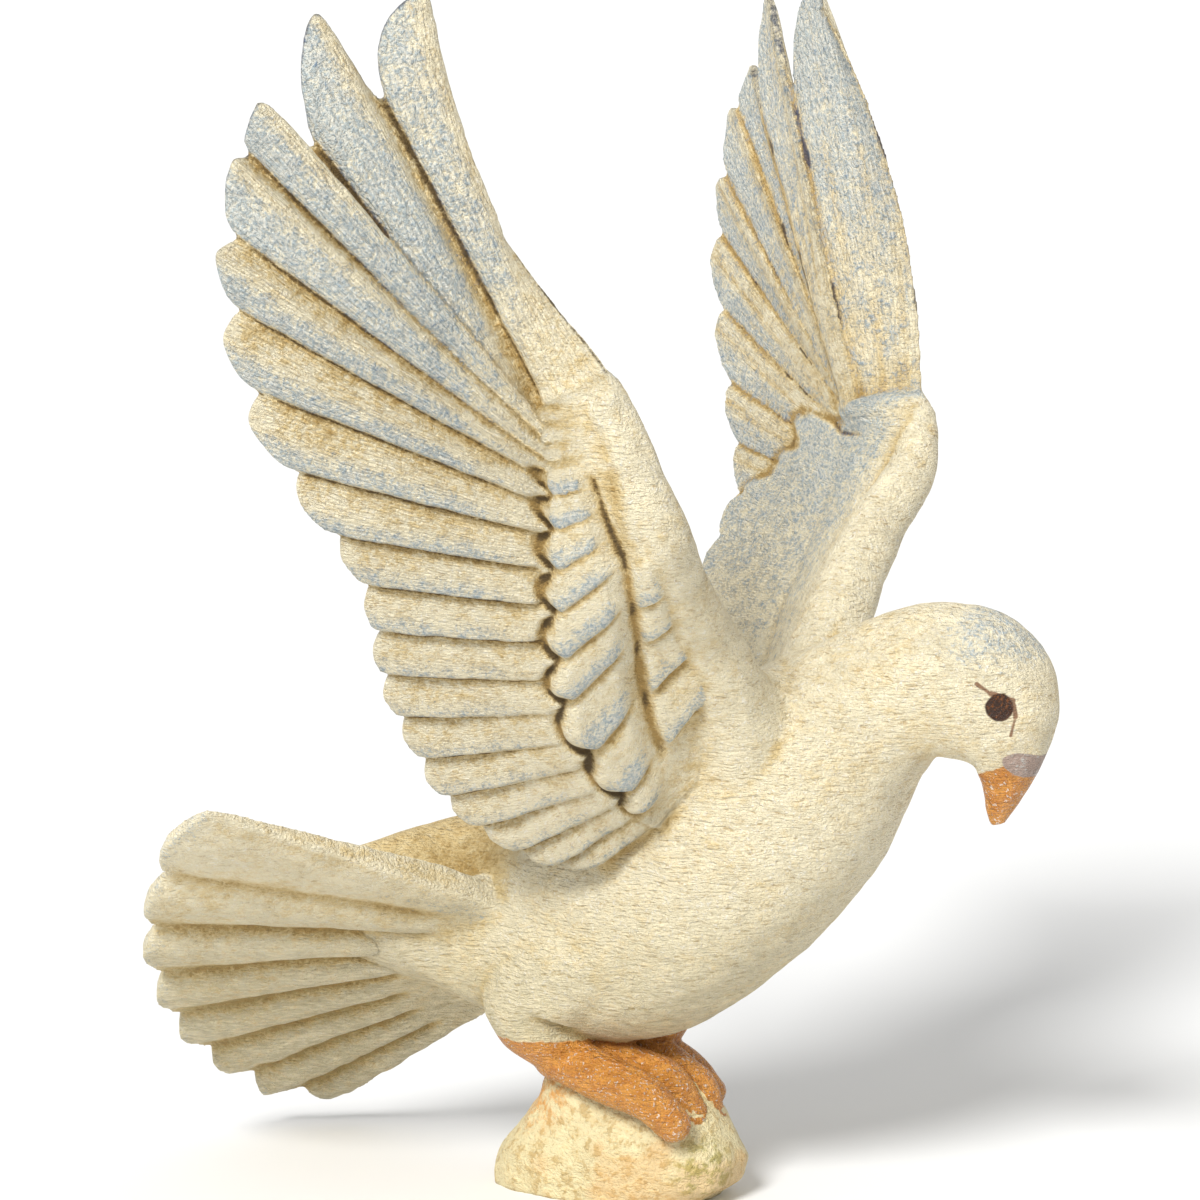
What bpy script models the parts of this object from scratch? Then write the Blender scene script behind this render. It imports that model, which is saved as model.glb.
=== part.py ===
"""Painted wood carving of a dove with raised wings, bent head and fanned tail, perched on a small rock.

The bird faces +X, its left is +Y and +Z is up. The origin lies on the rock's flat underside.
The real figure is carved from one piece of wood. Here the wings are parted from it at the shoulders,
as a caster would part them, across a hair's gap.
Lengths below are millimetres on a figure 240 mm tall, and unit turns them into metres.
"""

import bpy
import bmesh
import numpy as np

# Overall size
STATUE_HEIGHT = 0.240
DRAWN_HEIGHT = 240.0

# Rock: levels of (height, rear X, front X, right Y, left Y), from the flat underside to the perch
ROCK_LEVELS = (
    (0.0, -26.5, 19.5, -11.5, 16.0),
    (4.0, -26.5, 25.0, -12.5, 17.0),
    (8.0, -24.5, 26.0, -13.0, 17.0),
    (13.0, -20.5, 24.5, -12.5, 15.0),
    (18.0, -16.5, 21.5, -11.0, 13.0),
    (24.0, -14.5, 17.0, -9.0, 11.0),
)
ROCK_CORNERS = 14
ROCK_CHIP = 0.8
ROCK_SQUARENESS = 2.6

# Body, neck and head: rings from tail root to beak tip. Each has its middle (X, Y, Z), half-height,
# half-width, how far its top leans towards the head and how far it is rolled, both in degrees
BODY_RINGS = (
    (-62.0, -19.0, 49.0, 1.8, 12.0, -14.0, 37.0),
    (-50.0, -16.0, 54.0, 8.5, 18.0, -14.0, 37.0),
    (-37.5, -9.0, 56.0, 15.5, 18.0, -10.0, 26.0),
    (-22.5, -1.0, 55.5, 21.5, 20.0, -1.0, 10.0),
    (-6.5, 0.0, 58.8, 27.8, 23.5, -3.0, 0.0),
    (10.5, 0.0, 63.8, 29.7, 25.5, -9.0, 0.0),
    (28.0, 0.0, 75.3, 27.5, 25.0, -17.0, 0.0),
    (43.0, 0.0, 88.1, 23.2, 21.5, -25.0, 0.0),
    (52.0, 0.0, 97.0, 18.7, 17.0, -25.0, 0.0),
    (59.2, 0.5, 103.8, 16.2, 14.0, -16.0, 0.0),
    (66.2, 1.0, 107.7, 14.9, 12.8, -5.0, 0.0),
    (72.8, 2.0, 107.8, 14.9, 12.2, 5.0, 0.0),
    (78.2, 3.0, 106.3, 14.5, 11.6, 14.0, 0.0),
    (82.3, 4.0, 102.3, 12.9, 10.2, 28.0, 0.0),
    (83.5, 4.5, 96.9, 10.5, 8.0, 46.0, 0.0),
    (83.0, 4.8, 92.7, 8.2, 5.8, 55.0, 0.0),
    (81.8, 5.0, 88.2, 5.8, 4.3, 63.0, 0.0),
    (80.1, 5.2, 83.5, 3.3, 2.8, 70.0, 0.0),
    (79.0, 5.2, 80.1, 1.4, 1.2, 83.0, 0.0),
)
BODY_SIDES = 18
BODY_SQUARENESS = 2.15

# Wings: where the leading edge, the covert edge and the feather tips lie, for the feather number
# counted inwards from the wing tip. Each entry is (feather number, X, distance from the middle plane, Z)
WING_FEATHERS = 18
LEADING_EDGE = (
    (0, 35.0, 67.5, 168.5),
    (4, 39.7, 64.5, 158.0),
    (8, 41.8, 61.0, 148.5),
    (10, 43.1, 57.0, 143.0),
    (13, 38.8, 42.0, 131.0),
    (16, 39.5, 28.0, 119.0),
    (18, 40.0, 17.5, 110.0),
)
COVERT_EDGE = (
    (0, 32.5, 68.5, 171.5),
    (1, 20.0, 68.5, 165.5),
    (3, 20.5, 69.5, 158.0),
    (6, 21.5, 70.0, 147.0),
    (9, 19.0, 65.0, 128.0),
    (12, 15.0, 53.0, 106.0),
    (15, 17.0, 38.5, 90.0),
    (18, 20.5, 26.0, 81.0),
)
FEATHER_TIPS = (
    (0, 5.5, 84.5, 236.5),
    (0.5, 4.5, 86.5, 239.0),
    (1.0, -8.0, 93.3, 234.7),
    (1.6, -11.4, 97.3, 235.3),
    (2.0, -18.8, 101.5, 223.6),
    (2.5, -18.0, 105.0, 220.5),
    (3.0, -23.0, 105.8, 214.0),
    (3.5, -23.5, 106.0, 209.5),
    (4.0, -26.6, 106.5, 199.0),
    (4.5, -26.5, 106.5, 192.5),
    (5.5, -27.0, 103.5, 177.5),
    (6.5, -24.5, 98.5, 162.0),
    (7.5, -19.0, 90.0, 147.0),
    (8.5, -14.5, 83.0, 136.5),
    (11.5, -16.0, 65.0, 108.5),
    (14.5, -11.0, 46.5, 83.5),
    (16.5, 0.0, 35.0, 73.0),
    (18, 9.0, 29.0, 71.0),
)
# How far the outer side of each of the first feathers narrows towards its tip, as a share of its width
NARROWED_TIPS = (0.0, 0.4, 0.2, 0.1)
# How many feathers from the wing tip inwards are slender, with both sides slanted towards the tip
SLENDER_FEATHERS = 2
# How far the notch between two feathers reaches along them, from the wing tip inwards
NOTCHES = (0.975, 0.775, 0.82, 0.95, 0.93, 0.93, 0.91, 0.91, 0.925)
NOTCH_OF_SMALL_FEATHERS = 0.93
# How far the outer edge of the first feather curves in between covert edge and tip, and how late the curve
# starts and how early it ends, right and left
OUTER_EDGE_BOW = ((7.6, 1.3, 1.0), (-6.0, 1.0, 1.0))
OUTER_EDGE_BOW_DIRECTION = (-0.94, 0.0, -0.34)
WING_ROOT_DEPTH = 13.0

# Wing section: share of the way from leading edge to covert edge, thickness below and above, and how
# strongly the carving across the feathers shows there
ARM_STATIONS = (
    (0.0, 1.2, 1.2, 0.0), (0.14, 4.2, 3.0, 0.0), (0.46, 4.6, 3.4, 0.6), (0.51, 2.8, 3.4, 1.0), (0.94, 3.6, 2.8, 0.8),
)
# Share of the way from covert edge to feather tip, then thickness below and above
VANE_STATIONS = ((0.03, 1.1, 2.0, 1.2), (0.55, 1.1, 1.4, 1.0), (0.85, 1.0, 1.0, 0.8), (1.0, 0.7, 0.7, 0.5))
# Carving across one feather: share of its width, then height of the carving
LARGE_FEATHER_SECTION = ((0.0, -0.6), (0.26, 0.2), (0.6, 0.8), (0.88, 1.0))
SMALL_FEATHER_SECTION = ((0.0, -0.6), (0.42, 0.5), (0.86, 1.0))
WING_LARGE_FEATHERS = 9
UNDERSIDE_CARVING = 1.3
UPPERSIDE_CARVING = 0.8
ARM_RADII = ((0.0, 2.6), (9.5, 5.2), (15.0, 7.0), (18.0, 9.5))
ARM_START = (30.0, -2.0, 82.0, 20.0)

# The left wing differs a little from the right one: a turn in degrees about the shoulder, size and shift
SHOULDER = (38.0, 20.0, 104.0)
LEFT_WING_TURN = (2.5, 2.0, 1.5)
LEFT_WING_SIZE = 0.975
LEFT_WING_SHIFT = (-1.5, -1.0, -1.5)
LEFT_INNER_FEATHERS = 0.85
# How far the left wing's wrist is set from where the mirrored right one's is, and over how many feathers
# that fades out along the leading edge and the covert edge
LEFT_WRIST_SHIFT = (5.0, 1.0, -14.0)
LEFT_WRIST_REACH = (10.0, 5.0)

# Tail: a fan of feathers about a point inside the body, turned to the right and rolled
TAIL_FEATHERS = 8
TAIL_CENTRE = (-4.0, 0.0, 54.5)
# Feather number, then how far its tip lies from the centre
TAIL_REACH = ((0.0, 96.0), (1.5, 91.0), (3.0, 90.5), (5.0, 95.0), (6.8, 97.0), (8.0, 87.5))
TAIL_ROOT = 22.0
TAIL_PITCH = 11.6
TAIL_TURN = 18.8
TAIL_ROLL = 37.4
TAIL_SPREAD = (50.5, -16.2, 0.6)
TAIL_STATIONS = ((0.0, 3.5, 3.5), (0.3, 2.8, 2.8), (0.6, 2.0, 2.0), (0.86, 1.5, 1.5), (1.0, 0.9, 0.9))
TAIL_NOTCH = 0.955
TAIL_CARVING = 1.1

# Where each wing is parted from the body: a point of the cut and the way out of it on the right side, and
# a second cut below the wing that leaves the tail with the body, given by its direction and distance
PARTING_POINT = (0.0, -22.0, 104.0)
PARTING_OUTWARD = (0.0, -0.953, 0.301)
CLEAR_OF_TAIL = (0.498, 0.0, 0.867)
CLEAR_OF_TAIL_DISTANCE = 56.8
PARTING_GAP = 0.3
PARTING_REACH = 300.0

# Legs and toes: polylines of (X, Y, Z, radius)
THIGHS = (
    ((0.0, -11.0, 52.0, 14.0), (-11.0, -11.5, 43.0, 11.5), (-11.8, -11.0, 36.8, 9.3), (-6.5, -9.5, 30.0, 6.0)),
    ((8.0, 9.0, 52.0, 15.0), (3.5, 8.0, 42.0, 12.0), (2.5, 7.0, 35.0, 10.0), (2.5, 6.0, 29.0, 7.0)),
)
TOES = (
    ((-8.5, -9.5, 29.0, 5.0), (2.0, -12.5, 26.5, 4.8), (12.5, -13.5, 23.5, 4.4), (18.5, -12.5, 18.5, 3.6)),
    ((-7.0, -7.0, 28.0, 5.0), (4.0, -5.0, 27.0, 4.6), (13.0, -4.0, 24.5, 4.2), (17.5, -3.0, 18.5, 3.4)),
    ((3.0, 4.0, 28.0, 5.2), (11.0, 3.0, 25.3, 4.4), (16.5, 3.5, 21.8, 3.8), (18.5, 4.0, 16.0, 3.4)),
    ((3.0, 7.0, 28.0, 4.8), (9.5, 10.5, 24.3, 4.0), (14.5, 12.5, 19.0, 3.4)),
    ((-5.0, -3.0, 28.0, 5.0), (-11.0, 1.0, 24.5, 4.2), (-15.0, 3.0, 18.5, 3.2)),
)
LIMB_SIDES = 9

# Paint over gesso
COLOUR = (0.80, 0.74, 0.60, 1.0)
ROUGHNESS = 0.62

unit = STATUE_HEIGHT / DRAWN_HEIGHT


def spline(table, at):
    """Smooth curve through the rows of table, whose first column is the parameter."""
    rows = np.array(table, float)
    keys, values = rows[:, 0], rows[:, 1:]
    at = np.asarray(at, float)
    steps = np.diff(keys)
    slopes = np.diff(values, axis=0) / steps[:, None]
    weights = (steps[1:] / (steps[:-1] + steps[1:]))[:, None]
    inner = slopes[:-1] * weights + slopes[1:] * (1 - weights)
    tangents = np.concatenate([slopes[:1], inner, slopes[-1:]])
    i = np.clip(np.searchsorted(keys, at, side="right") - 1, 0, len(steps) - 1)
    h = steps[i][..., None]
    s = ((at - keys[i]) / steps[i])[..., None]
    return (
        values[i] * (1 + 2 * s) * (1 - s) ** 2
        + tangents[i] * h * s * (1 - s) ** 2
        + values[i + 1] * s * s * (3 - 2 * s)
        + tangents[i + 1] * h * s * s * (s - 1)
    )


def new_object(name, points, faces):
    """Object from points in drawn millimetres, with all its faces turned outwards."""
    mesh = bpy.data.meshes.new(name)
    mesh.from_pydata([tuple(p * unit) for p in np.asarray(points, float)], [], faces)
    shell = bmesh.new()
    shell.from_mesh(mesh)
    bmesh.ops.triangulate(shell, faces=shell.faces[:])
    bmesh.ops.recalc_face_normals(shell, faces=shell.faces[:])
    shell.to_mesh(mesh)
    shell.free()
    obj = bpy.data.objects.new(name, mesh)
    bpy.context.scene.collection.objects.link(obj)
    return obj


def loft(name, rings):
    """Closed tube through rings of equal length, with a flat cap at each end."""
    rings = np.asarray(rings, float)
    count, sides = rings.shape[:2]
    faces = [tuple(range(sides)), tuple((count - 1) * sides + j for j in reversed(range(sides)))]
    for i in range(count - 1):
        for j in range(sides):
            after = (j + 1) % sides
            faces.append((i * sides + j, (i + 1) * sides + j, (i + 1) * sides + after, i * sides + after))
    return new_object(name, rings.reshape(-1, 3), faces)


def sheet(name, lower, upper):
    """Closed sheet between two grids of the same size, joined along their four edges."""
    rows, columns = lower.shape[:2]
    index = np.arange(rows * columns).reshape(rows, columns)
    grids = (index, index + rows * columns)
    faces = []
    for grid in grids:
        for i in range(rows - 1):
            for j in range(columns - 1):
                faces.append((grid[i, j], grid[i + 1, j], grid[i + 1, j + 1], grid[i, j + 1]))
    rim = list(index[:, 0]) + list(index[-1, 1:]) + list(index[-2::-1, -1]) + list(index[0, -2:0:-1])
    for a, b in zip(rim, rim[1:] + rim[:1]):
        faces.append((a, b, b + rows * columns, a + rows * columns))
    faces = [tuple(int(v) for v in face) for face in faces]
    return new_object(name, np.concatenate([lower.reshape(-1, 3), upper.reshape(-1, 3)]), faces)


def limb(name, stations):
    """Round limb along a smooth line through stations of (X, Y, Z, radius)."""
    table = [(i, *station) for i, station in enumerate(stations)]
    at = np.linspace(0, len(stations) - 1, 2 * len(stations) - 1)
    line = spline(table, at)
    centres, radii = line[:, :3], line[:, 3]
    along = np.gradient(centres, axis=0)
    along /= np.linalg.norm(along, axis=1)[:, None]
    across = np.cross(along, (0.0, 1.0, 0.0))
    across /= np.linalg.norm(across, axis=1)[:, None]
    third = np.cross(along, across)
    turn = np.linspace(0, 2 * np.pi, LIMB_SIDES, endpoint=False)
    rings = []
    reach = ((-0.75, 0.6),) + ((0.0, 1.0),) * len(centres) + ((0.75, 0.6),)
    picks = [0, *range(len(centres)), len(centres) - 1]
    for (shift, share), i in zip(reach, picks):
        centre = centres[i] + along[i] * radii[i] * shift
        spoke = np.cos(turn)[:, None] * across[i] + np.sin(turn)[:, None] * third[i]
        rings.append(centre + spoke * radii[i] * share)
    return loft(name, rings)


def rounded(share, squareness):
    """Cosine or sine of a turn, drawn out so that a circle of them becomes squarer."""
    return np.sign(share) * np.abs(share) ** (2 / squareness)


def make_body():
    """Body, neck, head and beak as one loft whose rings stand across the bent spine."""
    rings = []
    turn = np.linspace(0, 2 * np.pi, BODY_SIDES, endpoint=False)
    high, wide = rounded(np.cos(turn), BODY_SQUARENESS), rounded(np.sin(turn), BODY_SQUARENESS)
    for x, y, z, half_height, half_width, lean, roll in BODY_RINGS:
        lean, roll = np.radians([lean, roll])
        up = np.array([np.sin(lean), 0.0, np.cos(lean)])
        side = np.array([0.0, 1.0, 0.0])
        top = up * np.cos(roll) + side * np.sin(roll)
        flank = side * np.cos(roll) - up * np.sin(roll)
        offsets = high[:, None] * top * half_height + wide[:, None] * flank * half_width
        rings.append(np.array([x, y, z]) + offsets)
    return loft("dove", rings)


def feather_columns(count, large):
    """Feather number and carving height of each line that runs along the feathers."""
    numbers, heights = [], []
    for feather in range(count):
        for share, height in LARGE_FEATHER_SECTION if feather < large else SMALL_FEATHER_SECTION:
            numbers.append(feather + share)
            heights.append(height)
    return np.array(numbers + [float(count)]), np.array(heights + [SMALL_FEATHER_SECTION[0][1]])


def reach_of(numbers, notches, slender=0):
    """How far along its line the outline runs at each feather number: round tips between notches."""
    low = np.interp(numbers, np.arange(len(notches)), notches)
    across = 2 * (numbers - np.floor(numbers)) - 1
    across[-1] = -1
    slanted = np.abs(across) ** 1.4
    rounded = 1 - np.sqrt(np.clip(1 - across**2, 0, 1))
    return 1 - (1 - low) * np.where((across < 0) | (numbers < slender), slanted, rounded)


def wing_line(numbers, side):
    """Leading edge, covert edge and feather tips at each feather number, drawn on the bird's right."""
    share = numbers - np.floor(numbers)
    narrowed = np.append(NARROWED_TIPS, 0.0)[np.minimum(np.floor(numbers).astype(int), len(NARROWED_TIPS))]
    at_tips = numbers + narrowed * (1 - share) ** 2 * (share > 0)
    edge, covert, tips = [
        spline(table, np.clip(at, 0, WING_FEATHERS)) * (1, -1, 1)
        for table, at in ((LEADING_EDGE, numbers), (COVERT_EDGE, numbers), (FEATHER_TIPS, at_tips))
    ]
    if side > 0:
        lowered = np.array(LEFT_WRIST_SHIFT) * (1, -1, 1)
        edge = edge + np.clip(1 - numbers / LEFT_WRIST_REACH[0], 0, 1)[:, None] * lowered
        covert = covert + np.clip(1 - numbers / LEFT_WRIST_REACH[1], 0, 1)[:, None] * lowered
        shorter = np.interp(numbers, (5.0, 9.0), (1.0, LEFT_INNER_FEATHERS))[:, None]
        tips = covert + (tips - covert) * shorter
    return edge, covert, tips


def make_wing(name, side):
    """Wing as a carved sheet. Its lines run along the feathers, and side is -1 on the right."""
    numbers, heights = feather_columns(WING_FEATHERS, WING_LARGE_FEATHERS)
    notches = list(NOTCHES) + [NOTCH_OF_SMALL_FEATHERS] * (WING_FEATHERS + 1 - len(NOTCHES))
    reach = reach_of(numbers, notches, SLENDER_FEATHERS)
    edge, covert, tips = wing_line(numbers, side)
    middle, below, above, carved = [], [], [], []
    for share, low, high, carving in ARM_STATIONS:
        middle.append(edge + (covert - edge) * share)
        below.append(low)
        above.append(high)
        carved.append(carving)
    depth, start, end = OUTER_EDGE_BOW[side > 0]
    deepest = start / (start + end)
    bow = depth * np.clip(1 - numbers, 0, 1)[:, None] * np.array(OUTER_EDGE_BOW_DIRECTION)
    bow = bow / (deepest**start * (1 - deepest) ** end)
    for share, low, high, carving in VANE_STATIONS:
        along = (share * (reach if share == 1.0 else 1 - (1 - reach) * share**3))[:, None]
        middle.append(covert + (tips - covert) * along + bow * along**start * (1 - along) ** end)
        below.append(low)
        above.append(high)
        carved.append(carving)
    middle = np.array(middle)
    normal = np.cross(np.gradient(middle, axis=0), np.gradient(middle, axis=1))
    normal /= np.linalg.norm(normal, axis=2)[:, :, None]
    normal *= np.sign(-normal[:, :, 1].mean())
    slim = 0.3 + 0.7 * np.clip(numbers / 0.6, 0, 1)
    under = (np.array(below)[:, None] * slim + np.array(carved)[:, None] * heights * UNDERSIDE_CARVING * slim)
    over = (np.array(above)[:, None] * slim + np.array(carved)[:, None] * heights[::-1] * UPPERSIDE_CARVING * slim)
    lower = middle + normal * np.maximum(under, 0.5)[:, :, None]
    upper = middle - normal * np.maximum(over, 0.5)[:, :, None]
    root = np.array([0.0, WING_ROOT_DEPTH, 0.0])
    lower = np.concatenate([lower, lower[:, -1:] + root], axis=1)
    upper = np.concatenate([upper, upper[:, -1:] + root], axis=1)
    return place_wing(sheet(name, lower, upper), side)


def make_arm(name, side):
    """Round arm along the leading edge, from inside the body to the hand."""
    numbers = np.array([18.0, 15.0, 12.0, 9.5, 6.0, 2.0])
    edge, covert, _ = wing_line(numbers, side)
    inwards = covert - edge
    inwards /= np.linalg.norm(inwards, axis=1)[:, None]
    radii = np.interp(numbers, *np.transpose(ARM_RADII))
    centres = edge + inwards * radii[:, None]
    stations = [np.array(ARM_START)] + [np.append(centre, radius) for centre, radius in zip(centres, radii)]
    return place_wing(limb(name, stations), side)


def place_wing(obj, side):
    """Keeps the right side as drawn; mirrors the left side and turns it about the shoulder."""
    if side > 0:
        shoulder = np.array(SHOULDER) * unit
        turn = turn_matrix(np.radians(LEFT_WING_TURN)) * LEFT_WING_SIZE
        points = np.array([v.co for v in obj.data.vertices])
        points[:, 1] *= -1
        points = (points - shoulder) @ turn.T + shoulder + np.array(LEFT_WING_SHIFT) * unit
        obj.data.vertices.foreach_set("co", points.ravel().astype(np.float32))
        obj.data.flip_normals()
    return obj


def turn_matrix(angles):
    """Turn about X, then Y, then Z."""
    (cx, cy, cz), (sx, sy, sz) = np.cos(angles), np.sin(angles)
    about_x = np.array([[1, 0, 0], [0, cx, -sx], [0, sx, cx]])
    about_y = np.array([[cy, 0, sy], [0, 1, 0], [-sy, 0, cy]])
    about_z = np.array([[cz, -sz, 0], [sz, cz, 0], [0, 0, 1]])
    return about_z @ about_y @ about_x


def tail_axes():
    """Unit vectors along the tail, across it to the right, and out of its underside."""
    pitch, turn, roll = np.radians([TAIL_PITCH, TAIL_TURN, TAIL_ROLL])
    along = np.array([-np.cos(pitch) * np.cos(turn), -np.cos(pitch) * np.sin(turn), -np.sin(pitch)])
    level = np.cross(along, (0.0, 0.0, 1.0))
    level *= -np.sign(level[1]) / np.linalg.norm(level)
    rise = np.cross(level, along)
    rise *= np.sign(rise[2])
    across = level * np.cos(roll) + rise * np.sin(roll)
    under = np.cross(along, across)
    under *= -np.sign(under[2])
    return along, across, under


def make_tail():
    """Tail as a carved fan, its right edge raised."""
    along, across, under = tail_axes()
    numbers, heights = feather_columns(TAIL_FEATHERS, TAIL_FEATHERS)
    reach = reach_of(numbers, [TAIL_NOTCH] * (TAIL_FEATHERS + 1))
    length = np.interp(numbers, *np.transpose(TAIL_REACH))
    start, step, bend = TAIL_SPREAD
    angles = np.radians(start + step * numbers + bend * numbers**2)
    middle, low, high, carved = [], [], [], []
    for share, below, above in TAIL_STATIONS:
        radius = TAIL_ROOT + (length - TAIL_ROOT) * share * (reach if share == 1.0 else 1.0)
        ray = np.cos(angles)[:, None] * along + np.sin(angles)[:, None] * across
        middle.append(np.array(TAIL_CENTRE) + ray * radius[:, None])
        low.append(below)
        high.append(above)
        carved.append(share)
    middle = np.array(middle)
    under_side = np.array(low)[:, None] + np.array(carved)[:, None] * heights * TAIL_CARVING
    upper_side = np.array(high)[:, None] + np.array(carved)[:, None] * heights[::-1] * TAIL_CARVING * 0.6
    lower = middle + under * np.maximum(under_side, 0.5)[:, :, None]
    upper = middle - under * np.maximum(upper_side, 0.5)[:, :, None]
    return sheet("tail", lower, upper)


def make_rock():
    """Rock with a flat underside and a small perch on top, chipped round its edge."""
    turn = np.linspace(0, 2 * np.pi, ROCK_CORNERS, endpoint=False)
    along, across = rounded(np.cos(turn), ROCK_SQUARENESS), rounded(np.sin(turn), ROCK_SQUARENESS)
    rings = []
    for height, rear, front, right, left in ROCK_LEVELS:
        chip = ROCK_CHIP * np.sin(3 * turn + 0.9 * height) * (height > 0)
        x = (rear + front) / 2 + ((front - rear) / 2 + chip) * along
        y = (right + left) / 2 + ((left - right) / 2 + chip) * across
        rings.append(np.stack([x, y, np.full(ROCK_CORNERS, height)], axis=1))
    return loft("rock", rings)


def parting_block(name, side, gap):
    """Block round one wing out to its tips. Its inner face parts the shoulder and its lower one clears the tail."""
    outward, upward = np.array(PARTING_OUTWARD), np.array(CLEAR_OF_TAIL)
    edge = np.cross(outward, upward)
    offsets = (outward @ PARTING_POINT - gap, CLEAR_OF_TAIL_DISTANCE - gap, edge @ PARTING_POINT)
    corner = np.linalg.solve((outward, upward, edge), offsets)
    along_lower = outward - outward @ upward * upward
    along_inner = upward - outward @ upward * outward
    square = ((0, 0), (1, 0), (1, 1), (0, 1))
    rings = [
        [corner + PARTING_REACH * (a * along_lower + b * along_inner + end * edge) for a, b in square]
        for end in (-1, 1)
    ]
    return loft(name, np.array(rings) * (1, -side, 1))


def paint():
    """Cream paint over gesso."""
    material = bpy.data.materials.new("painted wood")
    material.use_nodes = True
    shader = material.node_tree.nodes["Principled BSDF"]
    shader.inputs["Base Color"].default_value = COLOUR
    shader.inputs["Roughness"].default_value = ROUGHNESS
    shader.inputs["Metallic"].default_value = 0.0
    return material


def combine(whole, operation, pieces):
    """Adds the pieces to the whole, cuts them from it or keeps what lies inside them, and hides them."""
    for piece in pieces:
        step = whole.modifiers.new(piece.name, "BOOLEAN")
        step.operation = operation
        step.solver = "EXACT"
        step.object = piece
        piece.hide_render = True
        piece.display_type = "WIRE"


def part_wing(name, side, root, arm):
    """The wing outside its parting block's inner face, as an object of its own."""
    wing = root.copy()
    wing.name = name
    bpy.context.scene.collection.objects.link(wing)
    combine(wing, "UNION", [arm])
    combine(wing, "INTERSECT", [parting_block(name + " side", side, 0.0)])
    return wing


def main():
    for obj in list(bpy.data.objects):
        bpy.data.objects.remove(obj)
    dove = make_body()
    pieces, wings, gaps = [make_tail(), make_rock()], [], []
    for side, word in ((-1, "right"), (1, "left")):
        root, arm = make_wing(word + " wing", side), make_arm(word + " arm", side)
        pieces += [arm, root]
        wings.append(part_wing(word + "_wing", side, root, arm))
        gaps.append(parting_block(word + " gap", side, PARTING_GAP))
    pieces += [limb("thigh %d" % i, stations) for i, stations in enumerate(THIGHS)]
    pieces += [limb("toe %d" % i, stations) for i, stations in enumerate(TOES)]
    combine(dove, "UNION", pieces)
    combine(dove, "DIFFERENCE", gaps)
    material = paint()
    for obj in (dove, *wings):
        obj.data.materials.append(material)


main()
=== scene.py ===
"""Painted wood carving of a dove with raised wings, dressed for a render.

Lengths that the carver would mark are in millimetres on a figure 240 mm tall, in the frame of the
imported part: the bird faces +X, its left is +Y, +Z is up and the rock stands on z = 0.
"""

import bpy
import numpy as np
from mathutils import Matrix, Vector


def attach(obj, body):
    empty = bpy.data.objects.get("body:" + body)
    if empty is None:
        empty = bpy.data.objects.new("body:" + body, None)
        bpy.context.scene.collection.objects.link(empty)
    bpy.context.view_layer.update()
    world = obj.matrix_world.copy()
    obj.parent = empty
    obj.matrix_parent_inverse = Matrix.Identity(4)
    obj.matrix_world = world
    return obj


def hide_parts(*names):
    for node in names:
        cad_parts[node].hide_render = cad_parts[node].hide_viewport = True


bl_info = {
    "name": "Carved dove",
    "version": (1, 0, 0),
    "blender": (4, 5, 0),
    "location": "View3D > Sidebar > Dove",
    "description": "Carved and painted dove on its rock, with a plain studio",
    "category": "Object",
}

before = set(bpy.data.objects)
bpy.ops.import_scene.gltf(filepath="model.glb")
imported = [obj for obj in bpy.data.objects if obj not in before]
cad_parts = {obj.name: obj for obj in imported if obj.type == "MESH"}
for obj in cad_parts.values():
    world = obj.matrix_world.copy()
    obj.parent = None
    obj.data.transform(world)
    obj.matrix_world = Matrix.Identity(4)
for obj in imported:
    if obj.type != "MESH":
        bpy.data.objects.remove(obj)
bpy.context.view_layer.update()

DRAWN_HEIGHT = 240.0

# Body, neck, head and beak: middle (X, Y, Z), half-height, half-width, lean and roll in degrees
BODY_RINGS = (
    (-62.0, -19.0, 49.0, 1.8, 12.0, -14.0, 37.0),
    (-50.0, -16.0, 54.0, 8.5, 18.0, -14.0, 37.0),
    (-37.5, -9.0, 56.0, 15.5, 18.0, -10.0, 26.0),
    (-22.5, -1.0, 55.5, 21.5, 20.0, -1.0, 10.0),
    (-6.5, 0.0, 58.8, 27.8, 23.5, -3.0, 0.0),
    (10.5, 0.0, 63.8, 29.7, 25.5, -9.0, 0.0),
    (28.0, 0.0, 75.3, 27.5, 25.0, -17.0, 0.0),
    (43.0, 0.0, 88.1, 23.2, 21.5, -25.0, 0.0),
    (52.0, 0.0, 97.0, 18.7, 17.0, -25.0, 0.0),
    (59.2, 0.5, 103.8, 16.2, 14.0, -16.0, 0.0),
    (66.2, 1.0, 107.7, 14.9, 12.8, -5.0, 0.0),
    (72.8, 2.0, 107.8, 14.9, 12.2, 5.0, 0.0),
    (78.2, 3.0, 106.3, 14.5, 11.6, 14.0, 0.0),
    (82.3, 4.0, 102.3, 12.9, 10.2, 28.0, 0.0),
    (83.5, 4.5, 96.9, 10.5, 8.0, 46.0, 0.0),
    (83.0, 4.8, 92.7, 8.2, 5.8, 55.0, 0.0),
    (81.8, 5.0, 88.2, 5.8, 4.3, 63.0, 0.0),
    (80.1, 5.2, 83.5, 3.3, 2.8, 70.0, 0.0),
    (79.0, 5.2, 80.1, 1.4, 1.2, 83.0, 0.0),
)
BODY_SQUARENESS = 2.15

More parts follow.
